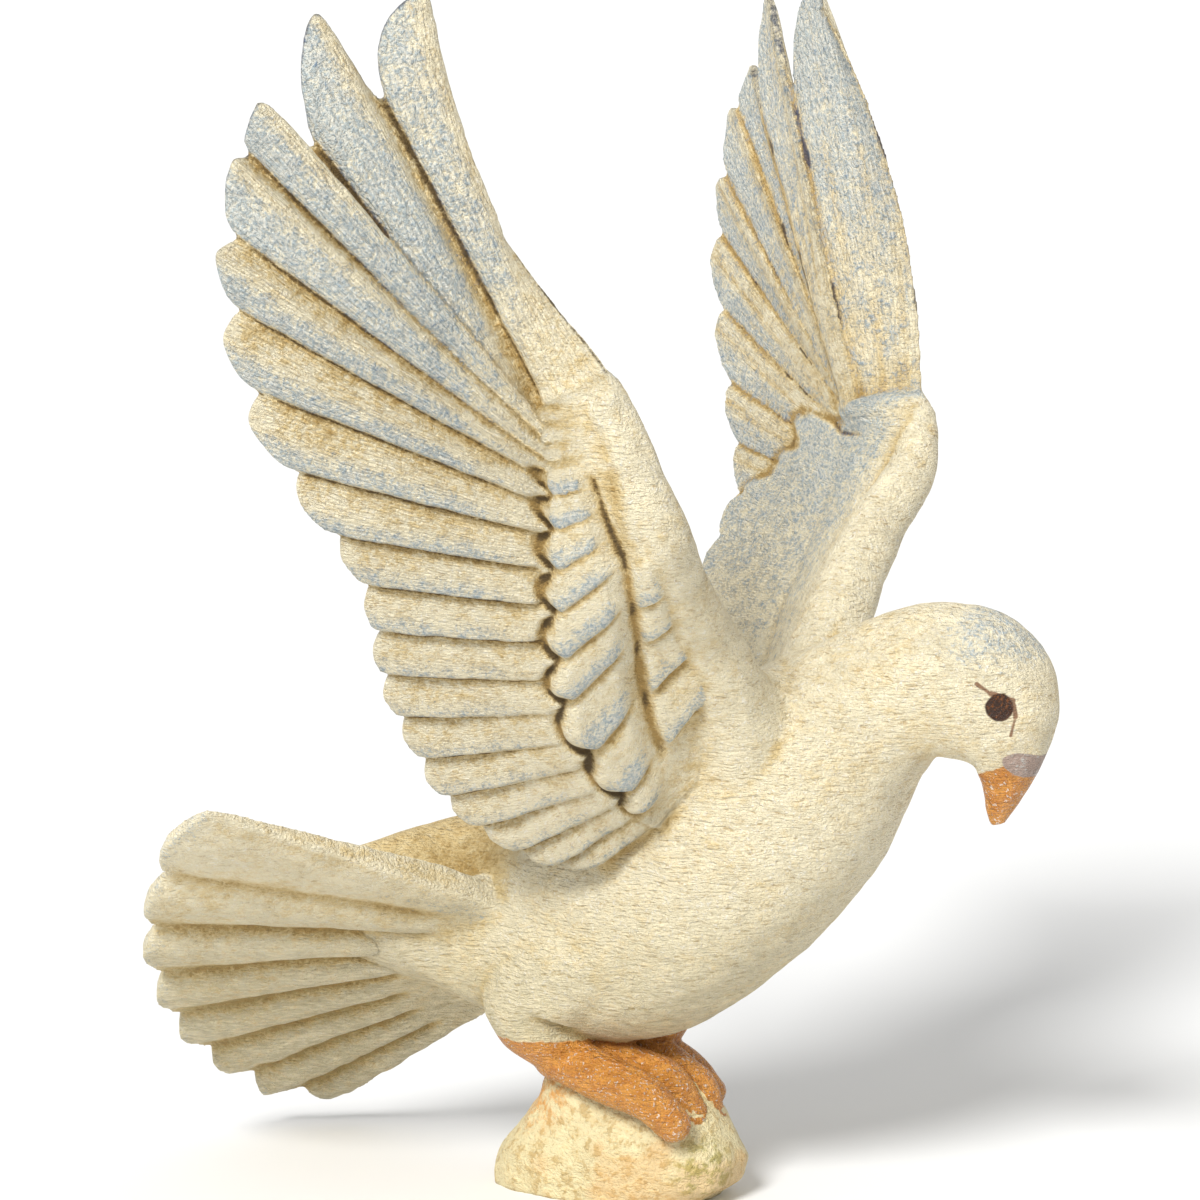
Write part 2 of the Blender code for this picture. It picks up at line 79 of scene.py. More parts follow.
# Wings: (feather number from the wing tip, X, distance from the middle plane, Z)
WING_FEATHERS = 18
LARGE_FEATHERS = 9
LEADING_EDGE = (
    (0, 35.0, 67.5, 168.5), (4, 39.7, 64.5, 158.0), (8, 41.8, 61.0, 148.5), (10, 43.1, 57.0, 143.0),
    (13, 38.8, 42.0, 131.0), (16, 39.5, 28.0, 119.0), (18, 40.0, 17.5, 110.0),
)
COVERT_EDGE = (
    (0, 32.5, 68.5, 171.5), (1, 20.0, 68.5, 165.5), (3, 20.5, 69.5, 158.0), (6, 21.5, 70.0, 147.0),
    (9, 19.0, 65.0, 128.0), (12, 15.0, 53.0, 106.0), (15, 17.0, 38.5, 90.0), (18, 20.5, 26.0, 81.0),
)
FEATHER_TIPS = (
    (0, 5.5, 84.5, 236.5), (0.5, 4.5, 86.5, 239.0), (1.0, -8.0, 93.3, 234.7), (1.6, -11.4, 97.3, 235.3),
    (2.0, -18.8, 101.5, 223.6), (2.5, -18.0, 105.0, 220.5), (3.0, -23.0, 105.8, 214.0), (3.5, -23.5, 106.0, 209.5),
    (4.0, -26.6, 106.5, 199.0), (4.5, -26.5, 106.5, 192.5), (5.5, -27.0, 103.5, 177.5), (6.5, -24.5, 98.5, 162.0),
    (7.5, -19.0, 90.0, 147.0), (8.5, -14.5, 83.0, 136.5), (11.5, -16.0, 65.0, 108.5), (14.5, -11.0, 46.5, 83.5),
    (16.5, 0.0, 35.0, 73.0), (18, 9.0, 29.0, 71.0),
)
NARROWED_TIPS = (0.0, 0.4, 0.2, 0.1)
SLENDER_FEATHERS = 2
NOTCHES = (0.975, 0.775, 0.82, 0.95, 0.93, 0.93, 0.91, 0.91, 0.925)
NOTCH_OF_SMALL_FEATHERS = 0.93
OUTER_EDGE_BOW = ((7.6, 1.3, 1.0), (-6.0, 1.0, 1.0))
OUTER_EDGE_BOW_DIRECTION = (-0.94, 0.0, -0.34)
WING_ROOT_DEPTH = 13.0
ARM_RADII = ((0.0, 2.6), (9.5, 5.2), (15.0, 7.0), (18.0, 9.5))
ARM_START = (30.0, -2.0, 82.0, 20.0)

# The wing's thickness on each side: station, then millimetres. Stations run 0 to 1 from the leading
# edge to the covert edge, and 1 to 2 from there to the feather tips
UNDER_THICKNESS = (
    (0.0, 1.2), (0.14, 4.0), (0.3, 4.2), (0.42, 2.6), (1.0, 2.2), (1.04, 1.2), (1.2, 1.5), (1.55, 1.3),
    (1.85, 1.0), (2.0, 0.5),
)
UPPER_THICKNESS = (
    (0.0, 1.2), (0.14, 3.0), (0.46, 3.2), (1.0, 1.8), (1.55, 1.2), (1.85, 0.9), (2.0, 0.5),
)
# Where the second covert row ends, and the first one starts, at each feather number
SECOND_ROW_END = ((5.0, 0.6), (6.0, 0.56), (9.0, 0.44), (12.0, 0.47), (13.5, 0.55), (15.0, 0.64), (16.5, 0.7))
# Feather numbers where two coverts of a row meet
FIRST_ROW_GAPS = (4.4, 5.6, 6.8, 8.0, 9.2, 10.5, 11.7, 13.6, 15.7, 17.2)
SECOND_ROW_GAPS = (9.3, 11.0, 12.3, 14.0, 16.0)
# Where the smooth coverts of the wing's upper side end
UPPER_COVERTS_END = (
    (0.0, 1.02), (1.0, 0.98), (2.0, 1.02), (3.5, 1.03), (4.3, 0.98), (5.0, 1.06), (6.0, 1.0), (6.15, 1.1),
    (6.4, 1.32), (7.1, 1.33), (7.3, 1.38), (8.0, 1.5), (8.15, 1.58), (8.6, 1.72), (9.0, 1.9), (9.4, 2.2),
    (18.0, 2.2),
)
# Long feathers from below: where their carving begins and how softly, by feather number, and how deep it is
# from the coverts outwards
VANE_BEGINS = ((0, 0.5), (4, 0.62), (4.6, 1.0))
VANE_SOFTNESS = ((0, 0.6), (4, 0.4), (4.6, 0.08))
UNDER_CARVING_OUTWARDS = ((0.0, 0.8), (0.15, 1.0), (0.5, 1.0), (0.85, 0.9), (1.0, 0.55))
UPPER_CARVING_OUTWARDS = ((0.0, 0.25), (0.3, 0.45), (0.6, 0.8), (1.0, 0.8))
UPPER_COVERT_STEP = ((0, 0.35), (4.5, 0.5), (5.5, 1.0))
# Feather numbers between which the carving fades out inwards
NEAR_FLANK = (10.0, 12.0)
# Bands across the feather numbers: start, end, softness at the start, softness at the end
FIRST_ROW = (4.3, 17.3, 0.6, 0.8)
SECOND_ROW = (9.1, 16.2, 0.4, 0.6)
SECOND_ROW_LINE = (4.8, 16.4, 0.8, 0.8)
BARE_HOLLOW = (4.6, 9.8, 1.0, 1.2)
# How strongly glaze, with painted shade beside the grooves, and blue are laid on, by feather number and from the
# coverts outwards
GLAZE_AND_SHADE_BESIDE_GROOVES = ((0, 0.6), (5, 0.5), (8, 0.22))
UNDER_BLUE = ((0, 0.55), (1, 0.8), (2, 0.95), (4, 0.9), (8, 0.75), (11, 0.55), (18, 0.5))
UNDER_BLUE_OUTWARDS = ((0.0, 0.15), (0.12, 0.35), (0.35, 0.9), (0.8, 0.85), (1.0, 1.0))
UPPER_BLUE = ((0, 0.95), (1, 0.9), (2, 0.8), (3, 0.95), (8, 0.9), (10, 0.6))
UPPER_BLUE_OUTWARDS = ((0.0, 0.6), (0.3, 0.65), (0.55, 0.85), (0.85, 1.0), (1.0, 1.0))
COVERT_BLUE = ((0, 0.8), (6, 0.75), (9, 0.6), (13, 0.35), (17, 0.05))
TIP_RIM = ((0, 0.6), (3, 0.5), (5, 0.3), (12, 0.1))
TIP_RIM_BEGINS = 1.988

SHOULDER = (38.0, 20.0, 104.0)
LEFT_WING_TURN = (2.5, 2.0, 1.5)
LEFT_WING_SIZE = 0.975
LEFT_WING_SHIFT = (-1.5, -1.0, -1.5)
LEFT_INNER_FEATHERS = 0.85
# How far the left wing's wrist is set from where the mirrored right one's is, and over how many feathers
# that fades out along the leading edge and the covert edge
LEFT_WRIST_SHIFT = (5.0, 1.0, -14.0)
LEFT_WRIST_REACH = (10.0, 5.0)

# Tail: a fan of feathers about a point inside the body
TAIL_FEATHERS = 8
TAIL_CENTRE = (-4.0, 0.0, 54.5)
TAIL_REACH = ((0.0, 96.0), (1.5, 91.0), (3.0, 90.5), (5.0, 95.0), (6.8, 97.0), (8.0, 87.5))
TAIL_ROOT = 22.0
TAIL_TILT = (11.6, 18.8, 37.4)
TAIL_SPREAD = (50.5, -16.2, 0.6)
TAIL_THICKNESS = ((0.0, 3.5), (0.3, 2.8), (0.6, 2.0), (0.86, 1.5), (1.0, 0.6))
TAIL_NOTCH = 0.955
# Share of the way out where the carving starts, from the top feather to the lowest
TAIL_CARVING_BEGINS = (0.1, 0.1, 0.25, 0.34)

# Rock: levels of (height, rear X, front X, right Y, left Y)
ROCK_LEVELS = (
    (0.0, -26.5, 19.5, -11.5, 16.0), (4.0, -26.5, 25.0, -12.5, 17.0), (8.0, -24.5, 26.0, -13.0, 17.0),
    (13.0, -20.5, 24.5, -12.5, 15.0), (18.0, -16.5, 21.5, -11.0, 13.0), (24.0, -14.5, 17.0, -9.0, 11.0),
)
ROCK_SQUARENESS = 2.6
ROCK_TOP = 24.0

# Legs and toes: lines of (X, Y, Z, radius)
THIGHS = (
    ((0.0, -11.0, 52.0, 14.0), (-11.0, -11.5, 43.0, 11.5), (-11.8, -11.0, 36.8, 9.3), (-6.5, -9.5, 30.0, 6.0)),
    ((8.0, 9.0, 52.0, 15.0), (3.5, 8.0, 42.0, 12.0), (2.5, 7.0, 35.0, 10.0), (2.5, 6.0, 29.0, 7.0)),
)
TOES = (
    ((-8.5, -9.5, 29.0, 5.0), (2.0, -12.5, 26.5, 4.8), (12.5, -13.5, 23.5, 4.4), (18.5, -12.5, 18.5, 3.6)),
    ((-7.0, -7.0, 28.0, 5.0), (4.0, -5.0, 27.0, 4.6), (13.0, -4.0, 24.5, 4.2), (17.5, -3.0, 18.5, 3.4)),
    ((3.0, 4.0, 28.0, 5.2), (11.0, 3.0, 25.3, 4.4), (16.5, 3.5, 21.8, 3.8), (18.5, 4.0, 16.0, 3.4)),
    ((3.0, 7.0, 28.0, 4.8), (9.5, 10.5, 24.3, 4.0), (14.5, 12.5, 19.0, 3.4)),
    ((-5.0, -3.0, 28.0, 5.0), (-11.0, 1.0, 24.5, 4.2), (-15.0, 3.0, 18.5, 3.2)),
)
ORANGE_ABOVE_TOES = 33.0
# The grey-blue of the crown starts above and ahead of these
CROWN_ABOVE = 108.0
CROWN_AHEAD_OF = 68.0
# Middle of the darker brown patch where wing, back and tail meet
RUMP_DARK_PATCH = (-30.0, -12.0, 72.0)

# Where the knife ran a hollow out smooth: (X, Y, Z, radius)
SMOOTHED_JOINS = (
    (42.0, -19.0, 107.0, 11.0), (36.0, -24.0, 98.0, 10.0), (28.0, -26.0, 88.0, 8.0),
    (42.0, 19.0, 107.0, 11.0), (36.0, 24.0, 98.0, 10.0), (28.0, 26.0, 88.0, 8.0),
    (-24.0, -18.0, 62.0, 13.0), (-34.0, -6.0, 44.0, 12.0), (-22.0, 12.0, 50.0, 12.0),
    (-4.0, -21.0, 50.0, 9.0), (10.0, 20.0, 46.0, 9.0), (-14.0, -6.0, 38.0, 7.0),
)

# Face: the middle plane of the head, then eye, brow and beak
HEAD_MIDDLE = 3.5
# The eye and the brow strokes (start, end, half-width) on the right side, from the head's middle plane
EYE = (84.0, -10.0, 104.7)
EYE_RADIUS = 2.8
BROW_STROKES = (
    ((79.9, -11.4, 109.3), (82.2, -10.2, 107.5), 0.35), ((82.2, -10.2, 107.5), (85.8, -8.0, 106.1), 0.55),
    ((85.8, -7.9, 105.7), (86.1, -7.4, 103.0), 0.5), ((86.1, -7.4, 103.0), (85.1, -7.1, 99.3), 0.3),
)

# Beak: its root, the ways down along it and ahead, and its middle. The cere is an ellipse beside the root
BEAK_ROOT = (83.5, 0.0, 96.9)
BEAK_DOWN = (-0.26, 0.0, -0.965)
BEAK_AHEAD = (0.965, 0.0, -0.26)
BEAK_MIDDLE = (83.0, 4.0, 88.0)
CERE_DOWN, CERE_HALF_DEPTH = 3.2, 2.5
CERE_AHEAD, CERE_HALF_LENGTH = 3.9, 3.9

# Paint: olive tint and painted shade, darker towards the bottom, fade in between these heights going down, and two
# stains lie on the rock
OLIVE_AND_SHADE_BETWEEN = (84.0, 26.0)
MOSS = (25.0, -8.0, 8.0)
STAIN = (-15.0, -10.0, 23.0)
# Brushwork: how fine each kind of mark is, as repeats in a metre, or along and across a feather
BRISTLE_SCALE, DAB_SCALE, WOBBLE_SCALE, PATCH_SCALE = 1500.0, 430.0, 420.0, 60.0
STROKE_SCALE, STROKE_TURN = (330.0, 330.0, 1900.0), (0.0, 0.5, 0.0)
FIBRE_ALONG, FIBRE_ACROSS = 44.0, 430.0
# How far, in metres, strokes wander, and how high the dry paint stands
WARP_SCALE, WARP_REACH = 90.0, 0.003
RELIEF_DEPTH = 0.0034

# Stage, in metres: where the key light comes from, and where the camera stands and looks
KEY_FROM = (0.05, -0.8, 0.62)
CAMERA_TARGET = (-0.0105, 0.0131, 0.1169)
CAMERA_PLACE = (0.4391, -0.8692, 0.2561)
FLOOR_REACH = 30.0

# Marks that the painter reads, each a three-valued attribute of the mesh. The glaze mark holds blue, the glaze of
# recesses and the dark of grooves and holes, which is partly painted shadow
GLAZE_AND_SHADE, LIE, ZONE = "glaze", "lie", "zone"
ATTRIBUTES = (GLAZE_AND_SHADE, LIE, ZONE)
# Hollows, ridges and broad hollows, measured on the finished skin; the paint deepens glaze in them with painted
# shade
FORM = "form"


def smooth(x):
    """Smooth step: 3x^2 - 2x^3 between 0 and 1, level outside."""
    x = np.clip(x, 0.0, 1.0)
    return x * x * (3 - 2 * x)


def spline(table, at):
    """Smooth cubic through the rows of a table whose first column is the parameter."""
    rows = np.array(table, float)
    keys, values = rows[:, 0], rows[:, 1:]
    at = np.asarray(at, float)
    steps = np.diff(keys)
    slopes = np.diff(values, axis=0) / steps[:, None]
    weights = (steps[1:] / (steps[:-1] + steps[1:]))[:, None]
    inner = slopes[:-1] * weights + slopes[1:] * (1 - weights)
    tangents = np.concatenate([slopes[:1], inner, slopes[-1:]])
    i = np.clip(np.searchsorted(keys, at, side="right") - 1, 0, len(steps) - 1)
    h = steps[i][..., None]
    s = ((at - keys[i]) / steps[i])[..., None]
    return (
        values[i] * (1 + 2 * s) * (1 - s) ** 2 + tangents[i] * h * s * (1 - s) ** 2
        + values[i + 1] * s * s * (3 - 2 * s) + tangents[i + 1] * h * s * s * (s - 1)
    )


def along_table(table, at):
    """Straight lines through a table of pairs."""
    return np.interp(at, *np.transpose(np.array(table, float)))


def unevenness(points, cell, seed):
    """Smooth noise from -1 to 1: a value at each corner of a lattice of this cell, blended between corners."""
    scaled = points / cell
    corner = np.floor(scaled).astype(np.int64)
    part = smooth(scaled - corner)
    total = np.zeros(points.shape[:-1])
    for step in np.ndindex(2, 2, 2):
        i, j, k = np.moveaxis(corner + step, -1, 0)
        mixed = (i * 73856093) ^ (j * 19349663) ^ (k * 83492791) ^ (seed * 2654435761)
        mixed = (mixed ^ (mixed >> 13)) * 1274126177
        value = ((mixed ^ (mixed >> 16)) & 0xFFFF) / 32767.5 - 1
        total += value * np.prod(np.where(np.array(step) == 1, part, 1 - part), axis=-1)
    return total


def turn_matrix(angles):
    """Turn about X, then Y, then Z."""
    (cx, cy, cz), (sx, sy, sz) = np.cos(angles), np.sin(angles)
    about_x = np.array([[1, 0, 0], [0, cx, -sx], [0, sx, cx]])
    about_y = np.array([[cy, 0, sy], [0, 1, 0], [-sy, 0, cy]])
    about_z = np.array([[cz, -sz, 0], [sz, cz, 0], [0, 0, 1]])
    return about_z @ about_y @ about_x


class Shells:
    """Closed surfaces gathered into one mesh, each with its painter's marks."""

    def __init__(self):
        self.points, self.quads, self.triangles, self.marks, self.count = [], [], [], [], 0

    def add(self, points, quads, triangles, marks):
        self.points.append(points)
        self.marks.append(marks)
        self.quads.append(quads + self.count)
        self.triangles.append(triangles + self.count)
        self.count += len(points)

    def add_sheet(self, lower, upper, lower_marks, upper_marks):
        """Two grids of one size, joined along their four edges by a strip."""
        rows, columns = lower.shape[:2]
        index = np.arange(rows * columns).reshape(rows, columns)
        cells = np.stack([index[:-1, :-1], index[1:, :-1], index[1:, 1:], index[:-1, 1:]], axis=-1).reshape(-1, 4)
        rim = np.concatenate([index[:, 0], index[-1, 1:], index[-2::-1, -1], index[0, -2:0:-1]])
        after = np.roll(rim, -1)
        far = rows * columns
        strip = np.stack([rim, rim + far, after + far, after], axis=-1)
        points = np.concatenate([lower.reshape(-1, 3), upper.reshape(-1, 3)])
        marks = np.concatenate([lower_marks.reshape(-1, 9), upper_marks.reshape(-1, 9)])
        quads = np.concatenate([cells[:, ::-1], cells + far, strip])
        self.add(points, quads, np.zeros((0, 3), int), marks)

    def add_tube(self, rings, marks):
        """Rings of equal length, skinned and closed by a fan of triangles round a pole at each end."""
        count, sides = rings.shape[:2]
        index = np.arange(count * sides).reshape(count, sides)
        after = np.roll(index, -1, axis=1)
        quads = np.stack([index[:-1], after[:-1], after[1:], index[1:]], axis=-1).reshape(-1, 4)
        poles = np.array([rings[0].mean(axis=0), rings[-1].mean(axis=0)])
        first = np.stack([after[0], index[0], np.full(sides, count * sides)], axis=-1)
        last = np.stack([index[-1], after[-1], np.full(sides, count * sides + 1)], axis=-1)
        pole_marks = np.array([marks[0].mean(axis=0), marks[-1].mean(axis=0)])
        points = np.concatenate([rings.reshape(-1, 3), poles])
        marks = np.concatenate([marks.reshape(-1, 9), pole_marks])
        self.add(points, quads, np.concatenate([first, last]), marks)

    def mesh(self, name, unit):
        points, marks = np.concatenate(self.points) * unit, np.concatenate(self.marks)
        mesh = mesh_of(name, points, np.concatenate(self.quads), np.concatenate(self.triangles))
        for i, attribute in enumerate(ATTRIBUTES):
            values = np.ones((len(points), 4), np.float32)
            values[:, :3] = marks[:, 3 * i : 3 * i + 3]
            mesh.attributes.new(attribute, "FLOAT_COLOR", "POINT").data.foreach_set("color", values.ravel())
        return mesh


def mesh_of(name, points, quads, triangles):
    """Mesh from arrays of points, four-cornered faces and three-cornered faces."""
    mesh = bpy.data.meshes.new(name)
    loops = np.concatenate([quads.ravel(), triangles.ravel()]).astype(np.int32)
    starts = np.concatenate([np.arange(len(quads)) * 4, len(quads) * 4 + np.arange(len(triangles)) * 3])
    mesh.vertices.add(len(points))
    mesh.vertices.foreach_set("co", points.astype(np.float32).ravel())
    mesh.loops.add(len(loops))
    mesh.loops.foreach_set("vertex_index", loops)
    mesh.polygons.add(len(starts))
    mesh.polygons.foreach_set("loop_start", starts.astype(np.int32))
    mesh.update(calc_edges=True)
    return mesh


def marks_of(shape, **values):
    """Painter's marks on a grid: blue, recess and hole; two lie coordinates and grain; toe, rock and a spare."""
    order = ("blue", "recess", "hole", "along", "across", "grain", "toe", "rock")
    marks = np.zeros((*shape, 9))
    for name, value in values.items():
        marks[..., order.index(name)] = value
    return marks


def limb_rings(stations, sides, samples):
    """Round tube along a smooth line through stations of centre and radius, with domed ends."""
    at = np.linspace(0, len(stations) - 1, samples)
    line = spline([(i, *station) for i, station in enumerate(stations)], at)
    centres, radii = line[:, :3], line[:, 3:]
    dome = np.linspace(0.08, 0.5 * np.pi, 8)[:-1]
    start = centres[1] - centres[0]
    end = centres[-1] - centres[-2]
    start, end = start / np.linalg.norm(start), end / np.linalg.norm(end)
    before = centres[0] - start * (radii[0] * np.cos(dome)[:, None])
    beyond = centres[-1] + end * (radii[-1] * np.cos(dome[::-1])[:, None])
    centres = np.concatenate([before, centres, beyond])
    start_radii, end_radii = radii[0] * np.sin(dome)[:, None], radii[-1] * np.sin(dome[::-1])[:, None]
    radii = np.concatenate([start_radii, radii, end_radii])
    along = np.gradient(centres, axis=0)
    along /= np.linalg.norm(along, axis=1)[:, None]
    across = np.cross(along, (0.0, 1.0, 0.0))
    across /= np.linalg.norm(across, axis=1)[:, None]
    third = np.cross(along, across)
    turn = np.linspace(0, 2 * np.pi, sides, endpoint=False)[None, :, None]
    spokes = np.cos(turn) * across[:, None] + np.sin(turn) * third[:, None]
    return centres[:, None] + spokes * radii[:, None]


def rounded(share, squareness):
    """Cosine or sine of a turn, drawn out so that a circle of them becomes squarer."""
    return np.sign(share) * np.abs(share) ** (2 / squareness)


def body_rings():
    """Superellipses across the bent spine. Each ring's top leans and rolls as its station says."""
    at = np.linspace(0, len(BODY_RINGS) - 1, 260)
    line = spline([(i, *ring) for i, ring in enumerate(BODY_RINGS)], at)
    lean, roll = np.radians(line[:, 5]), np.radians(line[:, 6])
    nothing = np.zeros_like(lean)
    up = np.stack([np.sin(lean), nothing, np.cos(lean)], axis=1)
    side = np.array([0.0, 1.0, 0.0])
    top = up * np.cos(roll)[:, None] + side * np.sin(roll)[:, None]
    flank = side * np.cos(roll)[:, None] - up * np.sin(roll)[:, None]
    turn = np.linspace(0, 2 * np.pi, 180, endpoint=False)
    high, wide = rounded(np.cos(turn), BODY_SQUARENESS), rounded(np.sin(turn), BODY_SQUARENESS)
    rings = line[:, None, :3] + high[None, :, None] * (top * line[:, 3:4])[:, None]
    return rings + wide[None, :, None] * (flank * line[:, 4:5])[:, None]


def feather_numbers(count, large, per_large, per_small):
    """Lines that run along the feathers: evenly spaced within each feather."""
    parts = [np.linspace(k, k + 1, per_large if k < large else per_small, endpoint=False) for k in range(count)]
    return np.concatenate(parts + [[float(count)]])


def reach_of(numbers, notches, slender=0):
    """Outline along the feathers: slanted on a feather's outer half, round on its inner half, low at notches."""
    low = np.interp(numbers, range(len(notches)), notches)
    across = 2 * (numbers - np.floor(numbers)) - 1
    across[-1] = -1
    slanted = np.abs(across) ** 1.4
    dome = 1 - np.sqrt(np.clip(1 - across**2, 0, 1))
    inland = np.where(across < 0, slanted, dome)
    return 1 - (1 - low) * np.where(numbers < slender, np.abs(across) ** 2.3, inland)


def wing_lines(numbers, side):
    """Leading edge, covert edge and feather tips at each feather number, drawn on the bird's right."""
    share = numbers - np.floor(numbers)
    narrowed = np.append(NARROWED_TIPS, 0.0)[np.minimum(np.floor(numbers).astype(int), len(NARROWED_TIPS))]
    at_tips = numbers + narrowed * (1 - share) ** 2 * (share > 0)
    edge, covert, tips = [
        spline(table, np.clip(at, 0, WING_FEATHERS)) * (1, -1, 1)
        for table, at in ((LEADING_EDGE, numbers), (COVERT_EDGE, numbers), (FEATHER_TIPS, at_tips))
    ]
    if side > 0:
        lowered = np.array(LEFT_WRIST_SHIFT) * (1, -1, 1)
        edge = edge + np.clip(1 - numbers / LEFT_WRIST_REACH[0], 0, 1)[:, None] * lowered
        covert = covert + np.clip(1 - numbers / LEFT_WRIST_REACH[1], 0, 1)[:, None] * lowered
        shorter = np.interp(numbers, (5.0, 9.0), (1.0, LEFT_INNER_FEATHERS))[:, None]
        tips = covert + (tips - covert) * shorter
    return edge, covert, tips


def feather_ridge(share, roundness):
    """Section across a feather: rises from the groove to a rolled edge, then drops sharply to the next."""
    rise = np.sin(0.5 * np.pi * np.clip(share / 0.86, 0, 1)) ** roundness
    return (-0.75 + 1.75 * rise) * (1 - smooth((share - 0.9) / 0.1)) - 0.75 * smooth((share - 0.9) / 0.1)


def bell(x, width):
    """Bell curve of unit height."""
    return np.exp(-((x / width) ** 2))


def plateau(station, start, end, rise, fall):
    """Raised band between two stations, with its own softness at each side."""
    return smooth((station - start) / rise) * smooth((end - station) / fall)


def across_coverts(numbers, gaps):
    """How far across its covert each feather number is."""
    number = np.interp(numbers, gaps, np.arange(len(gaps)))
    return number - np.floor(number)


def grooves(share, before, after):
    """Groove where one feather ends and the next begins, with a width on each side of the edge."""
    return bell(share, before) + bell(1 - share, after)


def nearest_side(share):
    return np.minimum(share, 1 - share)


def crest(share):
    """1 in the middle of a covert and 0 at both its sides."""
    return 1 - (2 * share - 1) ** 2


def tip_rim(number, station):
    """Thin painted edge at the very ends of the feathers."""
    return smooth((station - TIP_RIM_BEGINS) / (2 - TIP_RIM_BEGINS)) * along_table(TIP_RIM, number)


def long_feathers(number, station, depth):
    """Height and paint of the long feathers seen from below, each with a rolled edge that stands over the next
    one's groove, where dark glaze and painted shadow lie. They fade out inwards near the flank."""
    share = number - np.floor(number)
    along = np.clip(station - 1, 0, 1)
    ridge = feather_ridge(share, np.where(number < LARGE_FEATHERS, 1.1, 0.9))
    vane = smooth((station - along_table(VANE_BEGINS, number)) / along_table(VANE_SOFTNESS, number))
    outer = along_table(UNDER_CARVING_OUTWARDS, along)
    near_flank = np.interp(number, NEAR_FLANK, (0.0, 1.0))
    inner = 0.3 + 0.7 * smooth((along - 0.3) / 0.4)
    height = depth * vane * outer * (1 - near_flank + near_flank * inner) * ridge

    strength = vane * outer * (1 - 0.6 * near_flank * (1 - inner))
    # Dark glaze and painted shadow in the groove under each rolled edge, and tan glaze with painted shade fading
    # out beside it
    line = grooves(share, 0.04, 0.03) * (number > 0.05)
    beside = along_table(GLAZE_AND_SHADE_BESIDE_GROOVES, number) * np.exp(-share / 0.16) + 0.05
    recess = strength * np.maximum(line, beside)
    rim = tip_rim(number, station)
    hole = np.maximum(0.95 * strength * bell(nearest_side(share), 0.04), rim)
    broad = bell(number - 2.0, 1.6) * bell(along - 0.42, 0.3)
    band = smooth((share - 0.3) / 0.45) * smooth((1.02 - share) / 0.08)
    blue = along_table(UNDER_BLUE, number) * along_table(UNDER_BLUE_OUTWARDS, along)
    blue = vane * blue * np.clip(band + 0.75 * broad, 0, 1)
    return height, recess, hole, np.maximum(blue, rim)


def under_relief(number, station, depth):
    """Underside of the wing, in three tiers: long feathers, a row of rounded coverts whose free ends stand over
    them across a deep groove, and a shorter second row beside the arm."""
    height, recess, hole, blue = long_feathers(number, station, depth)

    share = across_coverts(number, FIRST_ROW_GAPS)
    end = 0.955 + 0.075 * crest(share)
    split = along_table(SECOND_ROW_END, number)
    present = plateau(number, *FIRST_ROW)
    body = present * plateau(station, split + 0.03, end, 0.16, 0.07)
    groove = grooves(share, 0.09, 0.06) * body
    step = present * bell(station - end - 0.012, 0.028)
    pit = step * np.clip(1.4 * bell(nearest_side(share), 0.28) + 0.3, 0, 1)
    pad = 1.35 + 0.55 * (0.55 + 0.45 * feather_ridge(share, 0.8))
    height = height + body * pad - 0.5 * groove - 1.0 * step - 0.9 * pit
    # Glaze and painted shadow in the grooves between coverts and under their free ends, darkest in the pits
    recess = np.maximum(recess * (1 - body), np.maximum(0.8 * groove, step))
    hole = np.maximum(hole, pit)
    covert_blue = 0.75 * smooth((share - 0.25) / 0.5) * smooth((station - split) / 0.2)
    blue = np.where(body > 0.3, covert_blue, blue)

    share = across_coverts(number, SECOND_ROW_GAPS)
    end = split - 0.02 + 0.03 * crest(share)
    body = plateau(number, *SECOND_ROW) * plateau(station, 0.24, end, 0.1, 0.06)
    groove = grooves(share, 0.09, 0.06) * body
    line = plateau(number, *SECOND_ROW_LINE) * bell(station - split, 0.03)
    height = height + body * (1.1 + 0.5 * feather_ridge(share, 0.8)) - 0.5 * groove - 1.1 * line
    recess = np.maximum(recess, np.maximum(0.8 * groove, 0.9 * line))
    hole = np.maximum(hole, 0.8 * line * bell(nearest_side(share), 0.25))
    # Ochre glaze and painted shade in the bare hollow beside the arm
    hollow = plateau(number, *BARE_HOLLOW) * plateau(station, 0.3, split, 0.1, 0.08)
    recess = np.maximum(recess, 0.55 * hollow)
    blue = np.where(body > 0.3, 0.6 * smooth((share - 0.3) / 0.5), blue)
    return height, np.clip(recess, 0, 1), np.clip(hole, 0, 1), np.clip(blue, 0, 1)


